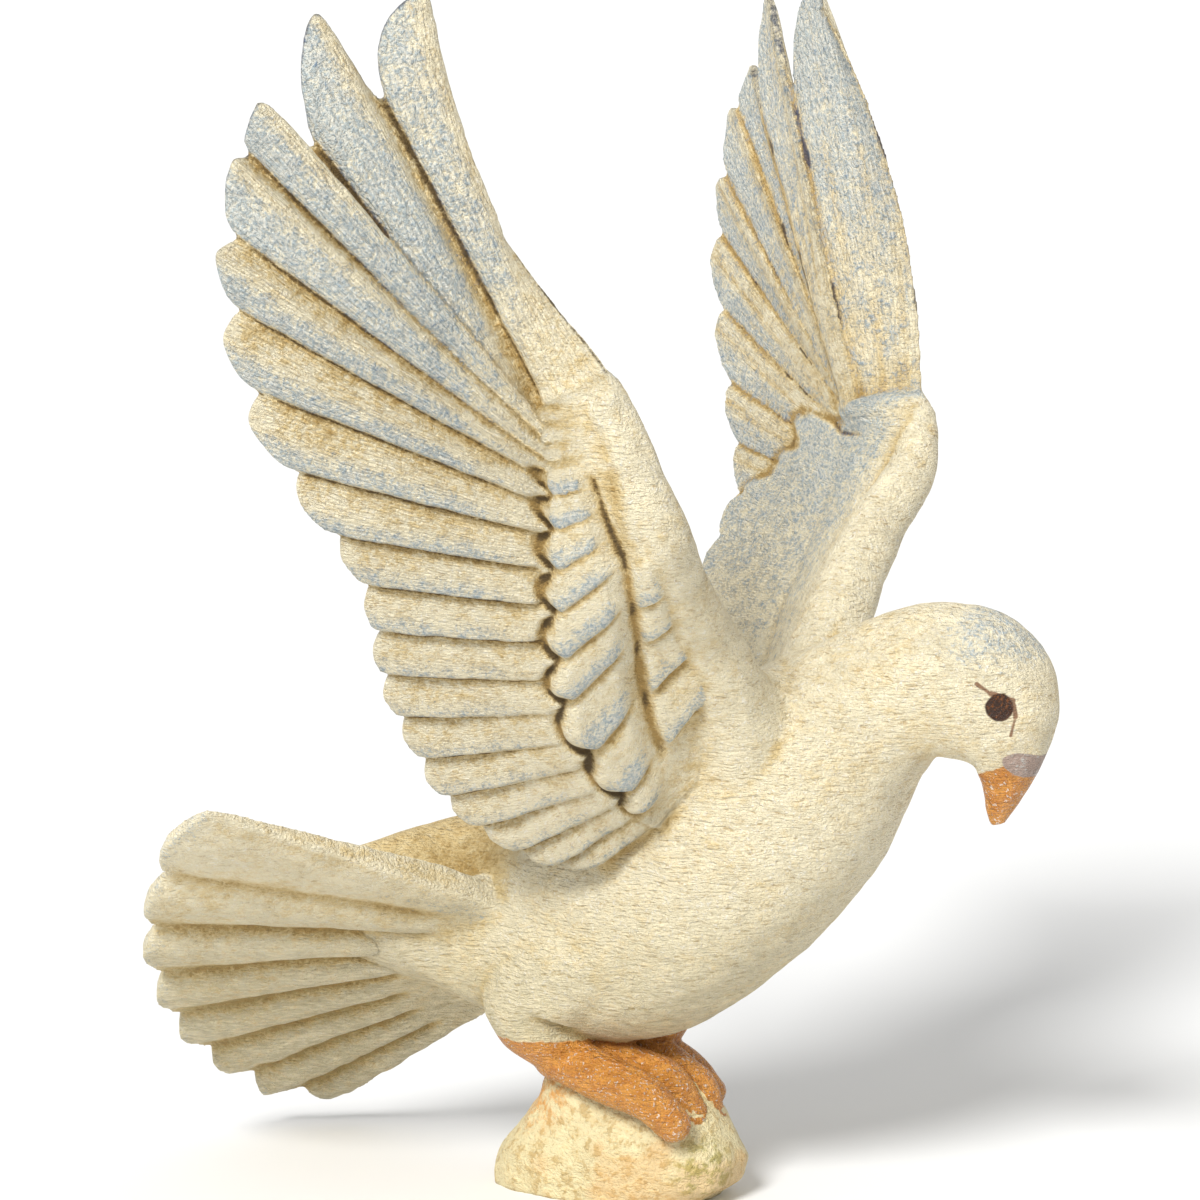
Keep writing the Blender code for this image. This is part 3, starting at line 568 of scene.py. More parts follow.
def upper_relief(number, station, depth):
    """Upper side of the wing: smooth lobed coverts that stand a step above long shallow feathers, whose edges
    and fine lines run out from under them, with a hollow between the first two."""
    share = number - np.floor(number)
    along = np.clip(station - 1, 0, 1)
    end = along_table(UPPER_COVERTS_END, number) + 0.05 * np.sin(2.1 * np.pi * number) * (number > 5.5)
    coverts = smooth((end - station) / 0.07)
    feathers = 1 - coverts
    outer = along_table(UPPER_CARVING_OUTWARDS, along)
    deeper = 1 + 0.8 * bell(number - 1.0, 0.5) + 0.3 * bell(number - 2.0, 0.4)
    lines = 0.5 * np.sin(2 * np.pi * (3.0 * number + 0.8 * along))
    lines = lines + 0.35 * np.sin(2 * np.pi * (5.3 * number - along))
    lines = lines * (0.6 + 0.4 * np.sin(11.0 * along + 2.3 * number))
    edge = bell(station - end - 0.03, 0.03) * along_table(UPPER_COVERT_STEP, number)
    crack = bell(number - 6.05, 0.1) * plateau(station, 0.7, 1.15, 0.05, 0.1)
    height = feathers * depth * outer * (deeper * feather_ridge(1 - share, 1.0) * 0.7 + 0.35 * lines)
    height = height + 1.3 * coverts * smooth((station - 0.1) / 0.3) - 0.5 * edge - 1.2 * crack

    groove = grooves(share, 0.06, 0.06) * feathers * outer
    streaks = 0.3 * feathers * smooth(0.3 - 1.5 * lines)
    arm = 0.35 * coverts * smooth((0.6 - station) / 0.5)
    # Glaze in grooves and streaks, with painted shadow in the grooves, under the covert step and in the crack
    recess = np.clip(0.75 * groove + 0.7 * edge + crack + streaks + arm + 0.22 * feathers, 0, 1)
    broken = smooth(1.2 * np.sin(13.0 * along + 4.7 * np.floor(number)) + 0.6 * np.sin(31.0 * along + number))
    splits = feathers * broken * bell(nearest_side(share), 0.035) * plateau(along, 0.12, 0.9, 0.1, 0.1)
    rim = tip_rim(number, station)
    hole = np.clip(0.7 * crack + 0.5 * edge * bell(number - 7.4, 0.35), 0, 1)
    hole = np.maximum(np.maximum(hole, rim), 0.9 * splits)
    band = 0.5 + 0.5 * smooth((share - 0.35) / 0.4)
    blue = along_table(UPPER_BLUE, number) * along_table(UPPER_BLUE_OUTWARDS, along)
    blue = feathers * blue * np.clip(band + 0.6 * bell(number - 0.5, 0.7), 0, 1)
    blue = blue + coverts * smooth((station + 0.1) / 0.9) * along_table(COVERT_BLUE, number)
    return height, recess, hole, np.clip(np.maximum(blue, rim), 0, 1)


def add_wing(shells, side, depth):
    """Carved sheet whose lines run along the feathers, between leading edge, covert edge and feather tips,
    and the round arm along its leading edge. The left one is mirrored and turned about the shoulder."""
    numbers = feather_numbers(WING_FEATHERS, LARGE_FEATHERS, 26, 18)
    stations = np.concatenate([np.linspace(0, 1, 56, endpoint=False), np.linspace(1, 2, 120)])
    notches = list(NOTCHES) + [NOTCH_OF_SMALL_FEATHERS] * (WING_FEATHERS + 1 - len(NOTCHES))
    reach = reach_of(numbers, notches, SLENDER_FEATHERS)
    edge, covert, tips = wing_lines(numbers, side)
    number, station = np.meshgrid(numbers, stations)
    inner = np.clip(station, 0, 1)[..., None]
    share = np.clip(station - 1, 0, 1)
    along = (share * (1 - (1 - reach) * share**3))[..., None]
    bend, start, end = OUTER_EDGE_BOW[side > 0]
    deepest = start / (start + end)
    bow = bend * np.clip(1 - numbers, 0, 1)[:, None] * np.array(OUTER_EDGE_BOW_DIRECTION)
    bow = bow / (deepest**start * (1 - deepest) ** end) * along**start * (1 - along) ** end
    middle = edge + (covert - edge) * inner + (tips - covert) * along + bow
    normal = np.cross(np.gradient(middle, axis=0), np.gradient(middle, axis=1))
    normal /= np.linalg.norm(normal, axis=2)[:, :, None]
    normal *= np.sign(-normal[:, :, 1].mean())
    slim = 0.35 + 0.65 * np.clip(number / 0.6, 0, 1)
    grain = np.clip(station - 0.4, 0, 1)
    sides = []
    for relief, thickness, way in (
        (under_relief, UNDER_THICKNESS, 1.0), (upper_relief, UPPER_THICKNESS, -1.0)
    ):
        height, recess, hole, blue = relief(number, station, depth)
        thick = np.maximum((along_table(thickness, station) + height) * slim, 0.35)
        points = middle + way * normal * thick[..., None]
        sides.append((points, marks_of(
            number.shape, blue=blue, recess=recess, hole=hole, grain=grain,
            along=station / 2, across=number / WING_FEATHERS,
        )))
    (lower, lower_marks), (upper, upper_marks) = sides
    inwards = np.linspace(0, 1, 14)[1:, None] * np.array([0.0, WING_ROOT_DEPTH, 0.0])
    lower = np.concatenate([lower, lower[:, -1:] + inwards], axis=1)
    upper = np.concatenate([upper, upper[:, -1:] + inwards], axis=1)
    more = np.repeat(lower_marks[:, -1:], 13, axis=1) * 0.0
    lower_marks = np.concatenate([lower_marks, more], axis=1)
    upper_marks = np.concatenate([upper_marks, more], axis=1)

    at = np.array([18.0, 15.0, 12.0, 9.5, 6.0, 2.0])
    arm_edge, arm_covert, _ = wing_lines(at, side)
    inwards = (arm_covert - arm_edge) / np.linalg.norm(arm_covert - arm_edge, axis=1)[:, None]
    radii = along_table(ARM_RADII, at)
    centres = arm_edge + inwards * radii[:, None]
    arm = limb_rings([ARM_START, *np.column_stack([centres, radii])], 72, 160)
    arm_marks = marks_of(arm.shape[:2])
    if side > 0:
        lower, upper, arm = [place_left(points) for points in (lower, upper, arm)]
    shells.add_sheet(lower, upper, lower_marks, upper_marks)
    shells.add_tube(arm, arm_marks)


def place_left(points):
    """Mirror image, then a small turn, change of size and shift about the shoulder."""
    turn = turn_matrix(np.radians(LEFT_WING_TURN)) * LEFT_WING_SIZE
    return (points * (1, -1, 1) - SHOULDER) @ turn.T + SHOULDER + np.array(LEFT_WING_SHIFT)


def add_tail(shells, depth):
    """Fan of ridged feathers about a centre: rays at growing angles, in a plane pitched, turned and rolled."""
    pitch, turn, roll = np.radians(TAIL_TILT)
    along = np.array([-np.cos(pitch) * np.cos(turn), -np.cos(pitch) * np.sin(turn), -np.sin(pitch)])
    level = np.cross(along, (0.0, 0.0, 1.0))
    level *= -np.sign(level[1]) / np.linalg.norm(level)
    rise = np.cross(level, along)
    rise *= np.sign(rise[2])
    across = level * np.cos(roll) + rise * np.sin(roll)
    under = np.cross(along, across)
    under *= -np.sign(under[2])
    numbers = feather_numbers(TAIL_FEATHERS, TAIL_FEATHERS, 30, 30)
    reach = reach_of(numbers, [TAIL_NOTCH] * (TAIL_FEATHERS + 1))
    length = along_table(TAIL_REACH, numbers)
    start, step, bend = TAIL_SPREAD
    angles = np.radians(start + step * numbers + bend * numbers**2)
    ray = np.cos(angles)[:, None] * along + np.sin(angles)[:, None] * across
    number, share = np.meshgrid(numbers, np.linspace(0, 1, 120))
    out = share * (1 - (1 - reach) * share**3)
    middle = np.array(TAIL_CENTRE) + ray * (TAIL_ROOT + (length - TAIL_ROOT) * out)[..., None]
    part = number - np.floor(number)
    ridge = 2 * np.sin(np.pi * part**0.8) ** 0.9 - 1
    begins = np.interp(number, (0, 2.5, 4, 8), TAIL_CARVING_BEGINS)
    carved = smooth((share - begins) / 0.12) * np.interp(number, (0, 1.0, 1.6), (0.3, 0.5, 1.0))
    thick = along_table(TAIL_THICKNESS, share)
    groove = (bell(part, 0.12) + bell(1 - part, 0.16)) * carved
    low = np.maximum(thick + 1.5 * depth * carved * ridge, 0.4)
    high = np.maximum(thick + 0.7 * depth * carved * feather_ridge(1 - part, 0.9), 0.4)
    lower, upper = middle + under * low[..., None], middle - under * high[..., None]
    tips = smooth((share - 0.9) / 0.1)
    top = 0.4 * bell(number - 0.6, 0.6) * smooth((0.5 - share) / 0.3)
    # Glaze and painted shadow in the grooves between tail feathers
    marks = marks_of(number.shape, blue=np.clip(0.35 * tips + top, 0, 1), recess=0.8 * groove, hole=0.35 * groove,
                     along=share, across=number / WING_FEATHERS, grain=0.6 * carved)
    shells.add_sheet(lower, upper, marks, marks)


def add_rock(shells):
    """Rounded block: superellipses that change from level to level, roughened by noise."""
    heights = np.linspace(0.0, ROCK_TOP, 90)
    rows = np.stack([np.interp(heights, *np.array(ROCK_LEVELS)[:, [0, i]].T) for i in range(1, 5)])
    rear, front, right, left = rows[..., None]
    turn = np.linspace(0, 2 * np.pi, 240, endpoint=False)
    x = (rear + front) / 2 + (front - rear) / 2 * rounded(np.cos(turn), ROCK_SQUARENESS)
    y = (right + left) / 2 + (left - right) / 2 * rounded(np.sin(turn), ROCK_SQUARENESS)
    rings = np.stack([x, y, np.broadcast_to(heights[:, None], x.shape)], axis=-1)
    shells.add_tube(rings, marks_of(rings.shape[:2], rock=1.0))


def add_legs(shells):
    """Thighs and toes as round tubes along smooth lines. Thighs turn orange near the toes."""
    for stations in THIGHS:
        rings = limb_rings(stations, 72, 70)
        orange = smooth((ORANGE_ABOVE_TOES + 0.8 - rings[..., 2]) / 1.6)
        shells.add_tube(rings, marks_of(rings.shape[:2], toe=orange))
    for stations in TOES:
        rings = limb_rings(stations, 48, 60)
        shells.add_tube(rings, marks_of(rings.shape[:2], toe=1.0))


def object_of(name, mesh):
    obj = bpy.data.objects.new(name, mesh)
    bpy.context.scene.collection.objects.link(obj)
    return obj


def finished(obj, name):
    """Mesh of an object with its modifiers applied. The object is then removed."""
    graph = bpy.context.evaluated_depsgraph_get()
    mesh = bpy.data.meshes.new_from_object(obj.evaluated_get(graph))
    mesh.name = name
    bpy.data.objects.remove(obj)
    return mesh


def places(mesh):
    points = np.empty(len(mesh.vertices) * 3, np.float32)
    mesh.vertices.foreach_get("co", points)
    return points.reshape(-1, 3).astype(float)


def outward(mesh):
    normals = np.empty(len(mesh.vertices) * 3, np.float32)
    mesh.vertices.foreach_get("normal", normals)
    return normals.reshape(-1, 3).astype(float)


def ends_of_edges(mesh):
    ends = np.empty(len(mesh.edges) * 2, np.int32)
    mesh.edges.foreach_get("vertices", ends)
    return ends.reshape(-1, 2)


def relax(points, ends, weight, rounds):
    """Repeated averaging with the neighbours, as strong at each point as its weight says."""
    used = (weight[ends[:, 0]] > 0) | (weight[ends[:, 1]] > 0)
    a, b = ends[used].T
    count = len(points)
    degree = np.maximum(np.bincount(a, minlength=count) + np.bincount(b, minlength=count), 1)
    for _ in range(rounds):
        total = np.stack([
            np.bincount(a, points[b, k], count) + np.bincount(b, points[a, k], count) for k in range(3)
        ], axis=1)
        points = points + (total / degree[:, None] - points) * (0.6 * weight)[:, None]
    return points


def sunk_by(points, ends, normals, rounds):
    """How far each point lies below the surface that the same number of rounds of averaging leaves."""
    level = relax(points, ends, np.ones(len(points)), rounds)
    return ((level - points) * normals).sum(axis=1)


def largest_piece(mesh, name):
    """Leaves out closed bubbles that the joining of shells may enclose."""
    obj = object_of(name, mesh)
    bpy.context.view_layer.objects.active = obj
    bpy.ops.object.select_all(action="DESELECT")
    obj.select_set(True)
    bpy.ops.mesh.separate(type="LOOSE")
    parts = sorted(bpy.context.selected_objects, key=lambda part: -len(part.data.vertices))
    for part in parts[1:]:
        bpy.data.objects.remove(part)
    return parts[0]


def body_marks(rings):
    """Paint of the body: orange down by the toes, a grey-blue crown and a darker brown patch on the rump."""
    height = rings[..., 2]
    orange = smooth((ORANGE_ABOVE_TOES - height) / 1.6)
    crown = 0.55 * smooth((height - CROWN_ABOVE) / 8.0) * smooth((rings[..., 0] - CROWN_AHEAD_OF) / 10.0)
    darkened = 0.75 * smooth((24.0 - np.linalg.norm(rings - RUMP_DARK_PATCH, axis=-1)) / 12.0)
    return marks_of(rings.shape[:2], blue=crown, recess=darkened, hole=0.35 * darkened, toe=orange)


def gathered(feather_depth):
    """Every shell of the figure, still lying through one another."""
    shells = Shells()
    rings = body_rings()
    shells.add_tube(rings, body_marks(rings))
    for side in (-1, 1):
        add_wing(shells, side, feather_depth)
    add_tail(shells, feather_depth)
    add_rock(shells)
    add_legs(shells)
    return shells


def one_skin(source, detail):
    """The shells' outer surface alone, as even small squares."""
    skin = object_of("skin", source.data.copy())
    remesh = skin.modifiers.new("one skin", "REMESH")
    remesh.mode = "VOXEL"
    remesh.voxel_size = detail
    return largest_piece(finished(skin, "skin"), "skin")


def move(mesh, points, unit):
    mesh.vertices.foreach_set("co", (points * unit).astype(np.float32).ravel())
    mesh.update()


def smooth_joins(points, ends):
    """Hollows between parts run out smooth, and the whole skin loses its small steps."""
    weight = np.zeros(len(points))
    for x, y, z, radius in SMOOTHED_JOINS:
        distance = np.linalg.norm(points - (x, y, z), axis=1)
        weight = np.maximum(weight, smooth(1.6 * (1 - distance / radius)))
    points = relax(points, ends, weight, 90)
    return relax(points, ends, np.ones(len(points)), 1)


def tooled(points, normals, depth):
    """Uneven surface that knife and ground coat leave, coarser on the rock, with a level underside."""
    uneven = 1.6 * unevenness(points, 5.0, 1) + 1.0 * unevenness(points, 2.2, 2)
    stone = smooth((ROCK_TOP - points[:, 2]) / 8.0)
    uneven = uneven + stone * (3.5 * unevenness(points, 6.0, 3) + 2.5 * unevenness(points, 2.5, 4))
    points = points + normals * (depth * uneven)[:, None]
    points[:, 2] = np.where(points[:, 2] < 0.3, 0.0, points[:, 2])
    return points


def measure_form(mesh, points, ends):
    """Marks how far each point is sunk, raised or in a broad hollow, for the painter."""
    fine = sunk_by(points, ends, outward(mesh), 10)
    broad = sunk_by(points, ends, outward(mesh), 70)
    values = np.ones((len(points), 4), np.float32)
    values[:, 0] = np.clip(fine / 0.35, 0, 1)
    values[:, 1] = np.clip(-fine / 0.3, 0, 1)
    values[:, 2] = np.clip(broad / 1.2, 0, 1)
    mesh.attributes.new(FORM, "FLOAT_COLOR", "POINT").data.foreach_set("color", values.ravel())


def thinned(skin, source, budget):
    """Skin with fewer triangles, which carries the marks of the shells."""
    for attribute in ATTRIBUTES:
        skin.data.attributes.new(attribute, "FLOAT_COLOR", "POINT")
    thin = skin.modifiers.new("thinned", "DECIMATE")
    thin.ratio = min(1.0, budget / (2 * len(skin.data.polygons)))
    thin.use_collapse_triangulate = True
    carry = skin.modifiers.new("marks", "DATA_TRANSFER")
    carry.object = source
    carry.use_vert_data = True
    carry.data_types_verts = {"COLOR_VERTEX"}
    carry.vert_mapping = "POLYINTERP_NEAREST"
    return finished(skin, "carved_dove")


def carve(sizes):
    """All shells made one skin, its joins smoothed, its surface worked with tools, then thinned to budget."""
    unit = sizes.figure_height / DRAWN_HEIGHT
    source = object_of("shells", gathered(sizes.feather_depth / unit).mesh("shells", unit))
    skin = one_skin(source, sizes.finest_detail * (1.0))
    ends = ends_of_edges(skin.data)
    points = smooth_joins(places(skin.data) / unit, ends)
    move(skin.data, points, unit)
    points = tooled(points, outward(skin.data), sizes.tool_marks / unit)
    move(skin.data, points, unit)
    measure_form(skin.data, points, ends)
    mesh = thinned(skin, source, sizes.triangle_budget)
    bpy.data.objects.remove(source)
    mesh.polygons.foreach_set("use_smooth", np.ones(len(mesh.polygons), bool))
    return object_of("carved_dove", mesh)


def linear(red, green, blue):
    """Colour as a screen shows it, from 0 to 255, as the light that a shader mixes."""
    value = np.array([red, green, blue]) / 255
    return (*np.where(value <= 0.04045, value / 12.92, ((value + 0.055) / 1.055) ** 2.4), 1.0)


class Recipe:
    """Builds a material's nodes: each call adds nodes and returns an output."""

    def __init__(self, name):
        self.material = bpy.data.materials.new(name)
        self.material.use_nodes = True
        self.tree = self.material.node_tree
        self.shader = self.tree.nodes["Principled BSDF"]

    def node(self, kind, inputs=(), output=0, **settings):
        made = self.tree.nodes.new(kind)
        for key, value in settings.items():
            setattr(made, key, value)
        for key, value in dict(inputs).items():
            self.set(made.inputs[key], value)
        return made.outputs[output]

    def set(self, socket, value):
        if isinstance(value, bpy.types.NodeSocket):
            self.tree.links.new(value, socket)
        else:
            socket.default_value = value

    def finish(self, name, value):
        self.set(self.shader.inputs[name], value)

    def math(self, operation, a, b=0.0, c=0.0):
        return self.node("ShaderNodeMath", {0: a, 1: b, 2: c}, operation=operation)

    def times(self, a, b):
        return self.math("MULTIPLY", a, b)

    def plus(self, a, b):
        return self.math("ADD", a, b)

    def less(self, a, b):
        return self.math("SUBTRACT", a, b)

    def over(self, a, b):
        return self.math("DIVIDE", a, b)

    def most(self, a, b):
        return self.math("MAXIMUM", a, b)

    def sum(self, *parts):
        """Sum of values, each times its share. A lone number at the end is added as it is."""
        *parts, last = parts
        total = self.times(*last) if isinstance(last, tuple) else last
        for value, share in reversed(parts):
            total = self.math("MULTIPLY_ADD", value, share, total)
        return total

    def vector(self, operation, a, b=(0.0, 0.0, 0.0), output=0):
        return self.node("ShaderNodeVectorMath", {0: a, 1: b}, output=output, operation=operation)

    def fade(self, value, low, high):
        """Smooth step of a value between two limits, which may be given high first."""
        inputs = {"Value": value, "From Min": low, "From Max": high}
        return self.node("ShaderNodeMapRange", inputs, interpolation_type="SMOOTHSTEP")

    def mix(self, factor, a, b):
        return self.node("ShaderNodeMix", {0: factor, 6: a, 7: b}, output=2, data_type="RGBA")

    def coat(self, under, paint, cover, share):
        """Paint over what is there, as thick as its cover says and at most as much as its share."""
        return self.mix(self.times(cover, share), under, paint)

    def noise(self, vector, scale, detail=3.0, roughness=0.6, distortion=0.0):
        inputs = {"Vector": vector, "Scale": scale, "Detail": detail}
        inputs.update({"Roughness": roughness, "Distortion": distortion})
        return self.node("ShaderNodeTexNoise", inputs)

    def marks(self, attribute):
        colour = self.node("ShaderNodeAttribute", output="Color", attribute_name=attribute)
        split = self.tree.nodes.new("ShaderNodeSeparateColor")
        self.tree.links.new(colour, split.inputs[0])
        return split.outputs[0], split.outputs[1], split.outputs[2]


class PaintedWood(Recipe):
    """Cream over a chalk ground with tan and ochre glaze left where the brush and the hollows hold it, deepened by
    painted shade in hollows, painted shadow in the deepest grooves and painted shade towards the bottom, blue
    dry-brushed over feather edges, orange feet and beak with brown painted shade in their hollows, a grey-pink cere
    and dark eyes with brow strokes."""

    def __init__(self, colours, unit):
        super().__init__("painted_wood")
        self.colours, self.unit = colours, unit
        self.place = self.node("ShaderNodeTexCoord", output="Object")
        # Recess and hole carry glaze, and in the grooves and holes painted shadow as well
        self.blue, self.recess, self.hole = self.marks(GLAZE_AND_SHADE)
        along, across, grain = self.marks(LIE)
        self.grain = grain
        self.toe, self.rock, _ = self.marks(ZONE)
        self.sunk, self.raised, self.hollow = self.marks(FORM)

        warp = self.node("ShaderNodeTexNoise", {"Vector": self.place, "Scale": WARP_SCALE, "Detail": 2.0}, "Color")
        inputs = {0: warp, 1: (WARP_REACH,) * 3, 2: self.place}
        bent = self.node("ShaderNodeVectorMath", inputs, operation="MULTIPLY_ADD")
        combed = self.node("ShaderNodeMapping", {"Vector": bent, "Scale": STROKE_SCALE, "Rotation": STROKE_TURN})
        self.strokes = self.noise(combed, 1.0, 3.0, 0.65)
        lie = {0: self.times(along, FIBRE_ALONG), 1: self.times(across, FIBRE_ACROSS)}
        fibre = self.noise(self.node("ShaderNodeCombineXYZ", lie), 1.0, 3.0, 0.65, 0.8)
        self.bristle = self.noise(bent, BRISTLE_SCALE, 3.0, 0.65)
        self.dabs = self.noise(bent, DAB_SCALE, 3.0, 0.65)
        self.patches = self.noise(self.place, PATCH_SCALE, 2.0, 0.55)
        self.drawn = self.mix(grain, self.strokes, fibre)
        self.broken = self.sum((self.bristle, 0.4), (self.dabs, 0.35), (self.drawn, 0.25))
        self.wobble = self.times(self.less(self.noise(self.place, WOBBLE_SCALE, 3.0), 0.5), 1.6)
        self.paint()

    def near(self, place, centre):
        """Distance from a point, in drawn millimetres."""
        distance = self.vector("DISTANCE", place, tuple(v * self.unit for v in centre), "Value")
        return self.over(distance, self.unit)

    def beside(self, place, start, end):
        """Distance from a straight stroke between two points, in drawn millimetres."""
        a, b = np.array(start) * self.unit, np.array(end) * self.unit
        along = (b - a) / ((b - a) @ (b - a))
        share = self.less(self.vector("DOT_PRODUCT", place, tuple(along), "Value"), float(a @ along))
        inputs = {0: self.node("ShaderNodeClamp", {"Value": share}), 4: tuple(a), 5: tuple(b)}
        nearest = self.node("ShaderNodeMix", inputs, output=1, data_type="VECTOR")
        return self.over(self.vector("DISTANCE", place, nearest, "Value"), self.unit)

    def glazed(self):
        """Cream with glaze held by hollows and grain, deepened by painted shade in fine and broad hollows and
        lighter on ridges, fine scratches and the palest strokes on top.
        """
        # Shade: random patches, the glaze of recesses, and painted shade in fine and broad hollows; ridges lighter
        shade = self.sum(
            (self.less(self.patches, 0.5), 0.25), (self.raised, -0.14), (self.recess, 0.3), (self.sunk, 0.16),
            (self.hollow, 0.16),
        )
        patchy = self.sum((self.grain, 0.9), 1.0)
        glaze_and_painted_shade = self.sum((self.less(self.broken, 0.5), patchy), self.plus(shade, 0.48))
        colour = self.coat(self.colours["cream"], self.colours["glaze"], self.fade(glaze_and_painted_shade, 0.42, 0.64), 0.9)
        colour = self.coat(colour, self.colours["ochre"], self.fade(glaze_and_painted_shade, 0.6, 0.86), 0.9)
        scratch = self.times(self.fade(self.drawn, 0.44, 0.34), self.fade(self.dabs, 0.38, 0.55))
        colour = self.coat(colour, self.colours["ochre"], scratch, 0.6)
        pale = self.times(self.fade(self.bristle, 0.54, 0.66), self.fade(glaze_and_painted_shade, 0.75, 0.5))
        return self.coat(colour, self.colours["highlight"], pale, 0.7)

    def dry_blue(self, colour):
        """A broken veil of blue, with flecks where the brush was full."""
        reach = self.sum((self.recess, -0.12), (self.blue, 0.42), (self.dabs, 0.55), (self.bristle, 0.45))
        veil = self.times(self.fade(reach, 0.6, 0.86), self.fade(self.blue, 0.02, 0.2))
        dusty = self.mix(self.fade(self.bristle, 0.4, 0.62), self.colours["pale_blue"], self.colours["blue"])
        colour = self.coat(colour, dusty, veil, 0.85)
        fleck = self.sum((self.bristle, 0.5), (self.dabs, 0.5))
        flecks = self.times(self.fade(fleck, 0.58, 0.68), self.fade(self.blue, 0.35, 0.9))
        return self.coat(colour, self.colours["deep_blue"], flecks, 0.7)

    def grooved(self, colour):
        """Dark glaze and painted shadow in the deepest grooves, and olive tint with painted shade over the lower
        parts, darker towards the bottom.
        """
        # The hole mark lays dark glaze and painted shadow into the deepest grooves, pits and cracks
        ragged = self.sum((self.less(self.broken, 0.5), 1.2), self.hole)
        darkest = self.mix(self.fade(self.blue, 0.3, 0.9), self.colours["dark"], self.colours["navy"])
        colour = self.coat(colour, darkest, self.fade(ragged, 0.28, 0.75), 0.9)
        # Olive tint and painted shade, darker towards the bottom of the figure
        height = self.over(self.node("ShaderNodeSeparateXYZ", {0: self.place}, output="Z"), self.unit)
        brushed = self.fade(self.sum((self.strokes, 0.65), (self.dabs, 0.35)), 0.62, 0.4)
        lower = self.times(self.fade(height, *OLIVE_AND_SHADE_BETWEEN), self.sum((brushed, 0.6), 0.15))
        return self.coat(colour, self.colours["olive"], lower, 0.75)

    def stone(self):
        """Pale rock with tan dabs, a mossy corner and an orange stain below the rear toe."""
        worn = self.fade(self.plus(self.broken, self.times(self.sunk, 0.2)), 0.44, 0.64)
        stone = self.coat(self.colours["stone"], self.colours["glaze"], worn, 0.8)
        stone = self.coat(stone, self.colours["ochre"], self.fade(self.dabs, 0.52, 0.62), 0.45)
        stone = self.coat(stone, self.colours["orange"], self.fade(self.patches, 0.5, 0.62), 0.3)
        moss = self.times(self.fade(self.near(self.place, MOSS), 11.0, 4.0), self.fade(self.dabs, 0.42, 0.6))
        stone = self.coat(stone, self.colours["moss"], moss, 0.6)
        stain = self.times(self.fade(self.near(self.place, STAIN), 13.0, 5.0), self.fade(self.dabs, 0.4, 0.6))
        return self.coat(stone, self.colours["orange"], stain, 0.8)

    def along_beak(self, direction):
        """Drawn millimetres from the root of the beak in one direction."""
        reach = self.over(self.vector("DOT_PRODUCT", self.place, direction, "Value"), self.unit)
        return self.less(reach, float(np.array(BEAK_ROOT) @ direction))

    def beak_and_cere(self):
        """Where the beak is orange and where the cere above it is."""
        down, ahead = self.along_beak(BEAK_DOWN), self.along_beak(BEAK_AHEAD)
        limits = {"Value": ahead, "From Min": -6.4, "From Max": 0.3, "To Min": 8.9, "To Max": 4.2}
        past = self.less(down, self.node("ShaderNodeMapRange", limits))
        on_beak = self.fade(self.plus(past, self.wobble), -0.2, 0.2)
        aside = self.over(self.less(down, CERE_DOWN), CERE_HALF_DEPTH)
        forward = self.over(self.less(ahead, CERE_AHEAD), CERE_HALF_LENGTH)
        cere_far = self.sum((aside, aside), (forward, forward))
        cere = self.fade(self.sum((self.wobble, 0.25), cere_far), 1.08, 0.92)
        front = self.fade(self.near(self.place, BEAK_MIDDLE), 12.5, 12.0)
        return self.times(on_beak, front), self.times(cere, front)

    def orange(self):
        """Orange with a burnt shade, brown painted shade in the hollows and pale worn ridges."""
        shaded = self.fade(self.broken, 0.4, 0.6)
        orange = self.mix(shaded, self.colours["orange"], self.colours["burnt_orange"])
        # Brown painted shade in the hollows of the feet
        orange = self.coat(orange, self.colours["brown"], self.fade(self.sunk, 0.1, 0.8), 0.7)
        worn = self.fade(self.sum((self.raised, 0.1), self.bristle), 0.6, 0.68)
        return self.coat(orange, self.colours["highlight"], worn, 0.6)

    def eyes(self):
        """Where the brow strokes and the eyes are, alike on both sides of the head's middle plane."""
        centred = self.vector("ADD", self.place, (0.0, -HEAD_MIDDLE * self.unit, 0.0))
        face = self.vector("MULTIPLY", self.vector("ABSOLUTE", centred), (1.0, -1.0, 1.0))
        brow = 0.0
        for start, end, width in BROW_STROKES:
            distance = self.sum((self.wobble, 0.3), self.beside(face, start, end))
            brow = self.most(brow, self.fade(distance, width + 0.2, width - 0.1))
        distance = self.sum((self.wobble, 0.4), self.near(face, EYE))
        return brow, self.fade(distance, EYE_RADIUS + 0.2, EYE_RADIUS - 0.2)

    def paint(self):
        colour = self.grooved(self.dry_blue(self.glazed()))
        colour = self.mix(self.fade(self.rock, 0.4, 0.6), colour, self.stone())
        beak, cere = self.beak_and_cere()
        glossy = self.most(self.fade(self.sum((self.wobble, 0.5), self.toe), 0.35, 0.65), beak)
        colour = self.mix(glossy, colour, self.orange())
        pink = self.mix(self.fade(self.broken, 0.5, 0.7), self.colours["cere"], self.colours["pale_blue"])
        colour = self.mix(cere, colour, pink)
        brow, eye = self.eyes()
        colour = self.coat(colour, self.colours["brown"], brow, 0.85)
        iris = self.mix(self.fade(self.bristle, 0.5, 0.66), self.colours["eye"], self.colours["brown"])
        self.finish("Base Color", self.mix(eye, colour, iris))

        dull = self.sum((self.dabs, 0.25), 0.45)
        self.finish("Roughness", self.sum((self.most(glossy, eye), -0.3), dull))
        combed = self.times(self.drawn, self.sum((self.rock, -0.35), 0.5))
        relief = self.plus(combed, self.sum((self.bristle, 0.35), (self.dabs, 0.3)))
        inputs = {"Height": relief, "Strength": 1.0, "Distance": RELIEF_DEPTH}
        self.finish("Normal", self.node("ShaderNodeBump", inputs, output="Normal"))


def screen_colour(name, description, *screen):
    """Colour that the user may change, with its default as a screen shows it."""
    return bpy.props.FloatVectorProperty(
        name=name, description=description, subtype="COLOR", size=4, default=linear(*screen))


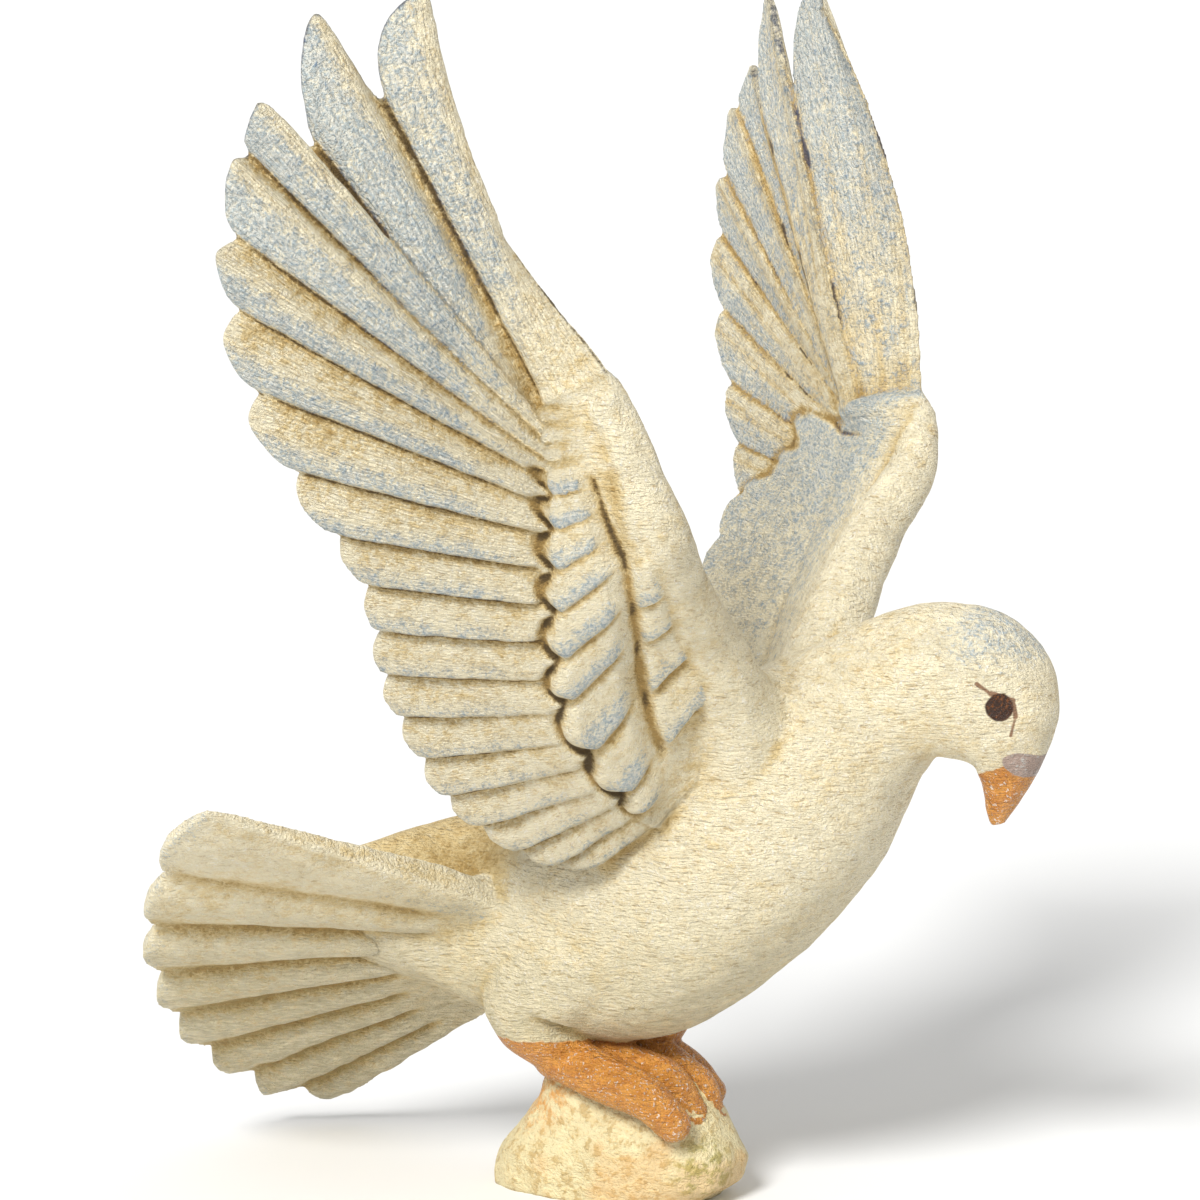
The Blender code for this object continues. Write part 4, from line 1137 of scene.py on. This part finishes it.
class DoveSizes(bpy.types.PropertyGroup):
    figure_height: bpy.props.FloatProperty(
        name="Figure height", description="Height that the carver's sizes are drawn for, rock included",
        default=0.240, min=0.1, max=0.5, unit="LENGTH")
    feather_depth: bpy.props.FloatProperty(
        name="Feather depth", description="Depth of the carving from one feather to the next",
        default=0.00105, min=0.0, max=0.003, unit="LENGTH")
    tool_marks: bpy.props.FloatProperty(
        name="Tool marks", description="How far the knife and the chalk ground leave the surface uneven",
        default=0.0001, min=0.0, max=0.0005, unit="LENGTH")
    finest_detail: bpy.props.FloatProperty(
        name="Finest detail", description="Size of the smallest form that the skin keeps",
        default=0.00052, min=0.0003, max=0.003, unit="LENGTH")
    triangle_budget: bpy.props.IntProperty(
        name="Triangles", description="Number of triangles that the finished skin has at most",
        default=196000, min=20000, max=199000)


class DoveColours(bpy.types.PropertyGroup):
    cream: screen_colour("Cream", "Ground colour", 246, 234, 200)
    highlight: screen_colour("Highlight", "Palest brush strokes", 255, 251, 238)
    glaze: screen_colour("Glaze", "Thin tan glaze", 226, 200, 142)
    # Glaze gathered in recesses, deepened with painted shade
    ochre: screen_colour("Ochre", "Glaze gathered in recesses", 180, 144, 76)
    # Dark glaze and painted shadow in the deepest grooves and holes
    dark: screen_colour("Dark", "Deepest grooves and holes", 72, 54, 22)
    pale_blue: screen_colour("Pale blue", "Thin veil of blue over cream", 216, 218, 212)
    blue: screen_colour("Blue", "Dry-brushed blue", 164, 181, 188)
    deep_blue: screen_colour("Deep blue", "Thicker flecks of blue", 104, 134, 166)
    navy: screen_colour("Navy", "Thin edges of the feather tips", 60, 70, 100)
    # Olive tint and painted shade over the lower parts
    olive: screen_colour("Olive", "Shade brushed over the lower parts", 168, 154, 104)
    orange: screen_colour("Orange", "Feet and beak", 226, 158, 74)
    burnt_orange: screen_colour("Burnt orange", "Shade of feet and beak", 192, 120, 44)
    # Brown brow strokes, and brown painted shade in the hollows of the feet
    brown: screen_colour("Brown", "Brow strokes and hollows of the feet", 128, 74, 30)
    cere: screen_colour("Cere", "Skin above the beak", 178, 154, 140)
    eye: screen_colour("Eye", "Eyes", 62, 36, 20)
    stone: screen_colour("Stone", "Rock", 236, 222, 176)
    moss: screen_colour("Moss", "Green tint on the rock", 160, 156, 78)


class StudioSettings(bpy.types.PropertyGroup):
    floor_colour: bpy.props.FloatVectorProperty(
        name="Floor", description="Colour of the floor", subtype="COLOR", size=4, default=(0.88, 0.88, 0.87, 1.0))
    key_power: bpy.props.FloatProperty(
        name="Key light", description="Strength of the large light high on the camera's side", default=3.4, min=0.0)
    softness: bpy.props.FloatProperty(
        name="Softness", description="How wide the key light looks", default=0.3, min=0.0, max=3.0, unit="ROTATION")
    surround: bpy.props.FloatProperty(
        name="Surround", description="Strength of the even light all round", default=0.6, min=0.0)
    lens: bpy.props.FloatProperty(
        name="Lens", description="Focal length on a 36 mm film", default=150.0, min=20.0, unit="CAMERA")


class DOVE_OT_carve(bpy.types.Operator):
    """Carve and paint the dove with its rock, in place of the plain solids"""

    bl_idname = "dove.carve"
    bl_label = "Carve dove"

    def execute(self, context):
        sizes, colours = context.scene.dove_sizes, context.scene.dove_colours
        dove = carve(sizes)
        mixed = {name: tuple(getattr(colours, name)) for name in DoveColours.__annotations__}
        dove.data.materials.clear()
        dove.data.materials.append(PaintedWood(mixed, sizes.figure_height / DRAWN_HEIGHT).material)
        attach(dove, "root")
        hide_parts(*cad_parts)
        return {"FINISHED"}


def aim(obj, target):
    """Turns a camera or light so that its -Z looks at a point."""
    obj.rotation_euler = (Vector(target) - obj.location).to_track_quat("-Z", "Y").to_euler()


def add_sun(name, direction, power, softness):
    """Even light from one side over figure and floor alike, as soft as its angle is wide."""
    light = bpy.data.lights.new(name, "SUN")
    light.energy = power
    light.angle = softness
    obj = object_of(name, light)
    obj.location = direction
    aim(obj, (0.0, 0.0, 0.0))


class DOVE_OT_stage(bpy.types.Operator):
    """Set out the pale floor, the soft lights and the camera"""

    bl_idname = "dove.stage"
    bl_label = "Set stage"

    def execute(self, context):
        settings = context.scene.dove_studio
        corners = FLOOR_REACH * np.array([(-1, -1, 0), (1, -1, 0), (1, 1, 0), (-1, 1, 0)], float)
        floor = object_of("floor", mesh_of("floor", corners, np.array([[0, 1, 2, 3]]), np.zeros((0, 3), int)))
        recipe = Recipe("floor")
        recipe.finish("Base Color", tuple(settings.floor_colour))
        recipe.finish("Roughness", 0.8)
        floor.data.materials.append(recipe.material)
        add_sun("key", KEY_FROM, settings.key_power, settings.softness)
        world = bpy.data.worlds.new("studio")
        world.use_nodes = True
        background = world.node_tree.nodes["Background"]
        background.inputs["Color"].default_value = (1.0, 1.0, 1.0, 1.0)
        background.inputs["Strength"].default_value = settings.surround
        context.scene.world = world
        context.scene.view_settings.view_transform = "Standard"
        camera = bpy.data.cameras.new("camera")
        camera.lens = settings.lens
        camera.sensor_width = 36.0
        camera.clip_end = 100.0
        obj = object_of("camera", camera)
        obj.location = CAMERA_PLACE
        aim(obj, CAMERA_TARGET)
        context.scene.camera = obj
        return {"FINISHED"}


class DOVE_PT_panel(bpy.types.Panel):
    bl_idname = "DOVE_PT_panel"
    bl_label = "Dove"
    bl_space_type = "VIEW_3D"
    bl_region_type = "UI"
    bl_category = "Dove"

    def draw(self, context):
        for group in ("dove_sizes", "dove_colours", "dove_studio"):
            settings = getattr(context.scene, group)
            box = self.layout.box()
            for name in type(settings).__annotations__:
                box.prop(settings, name)
        self.layout.operator(DOVE_OT_carve.bl_idname)
        self.layout.operator(DOVE_OT_stage.bl_idname)


CLASSES = (DoveSizes, DoveColours, StudioSettings, DOVE_OT_carve, DOVE_OT_stage, DOVE_PT_panel)


def register():
    for cls in CLASSES:
        bpy.utils.register_class(cls)
    bpy.types.Scene.dove_sizes = bpy.props.PointerProperty(type=DoveSizes)
    bpy.types.Scene.dove_colours = bpy.props.PointerProperty(type=DoveColours)
    bpy.types.Scene.dove_studio = bpy.props.PointerProperty(type=StudioSettings)


def unregister():
    del bpy.types.Scene.dove_sizes, bpy.types.Scene.dove_colours, bpy.types.Scene.dove_studio
    for cls in reversed(CLASSES):
        bpy.utils.unregister_class(cls)


def main():
    register()
    bpy.ops.dove.carve()
    bpy.ops.dove.stage()


if __name__ == "__main__":
    main()
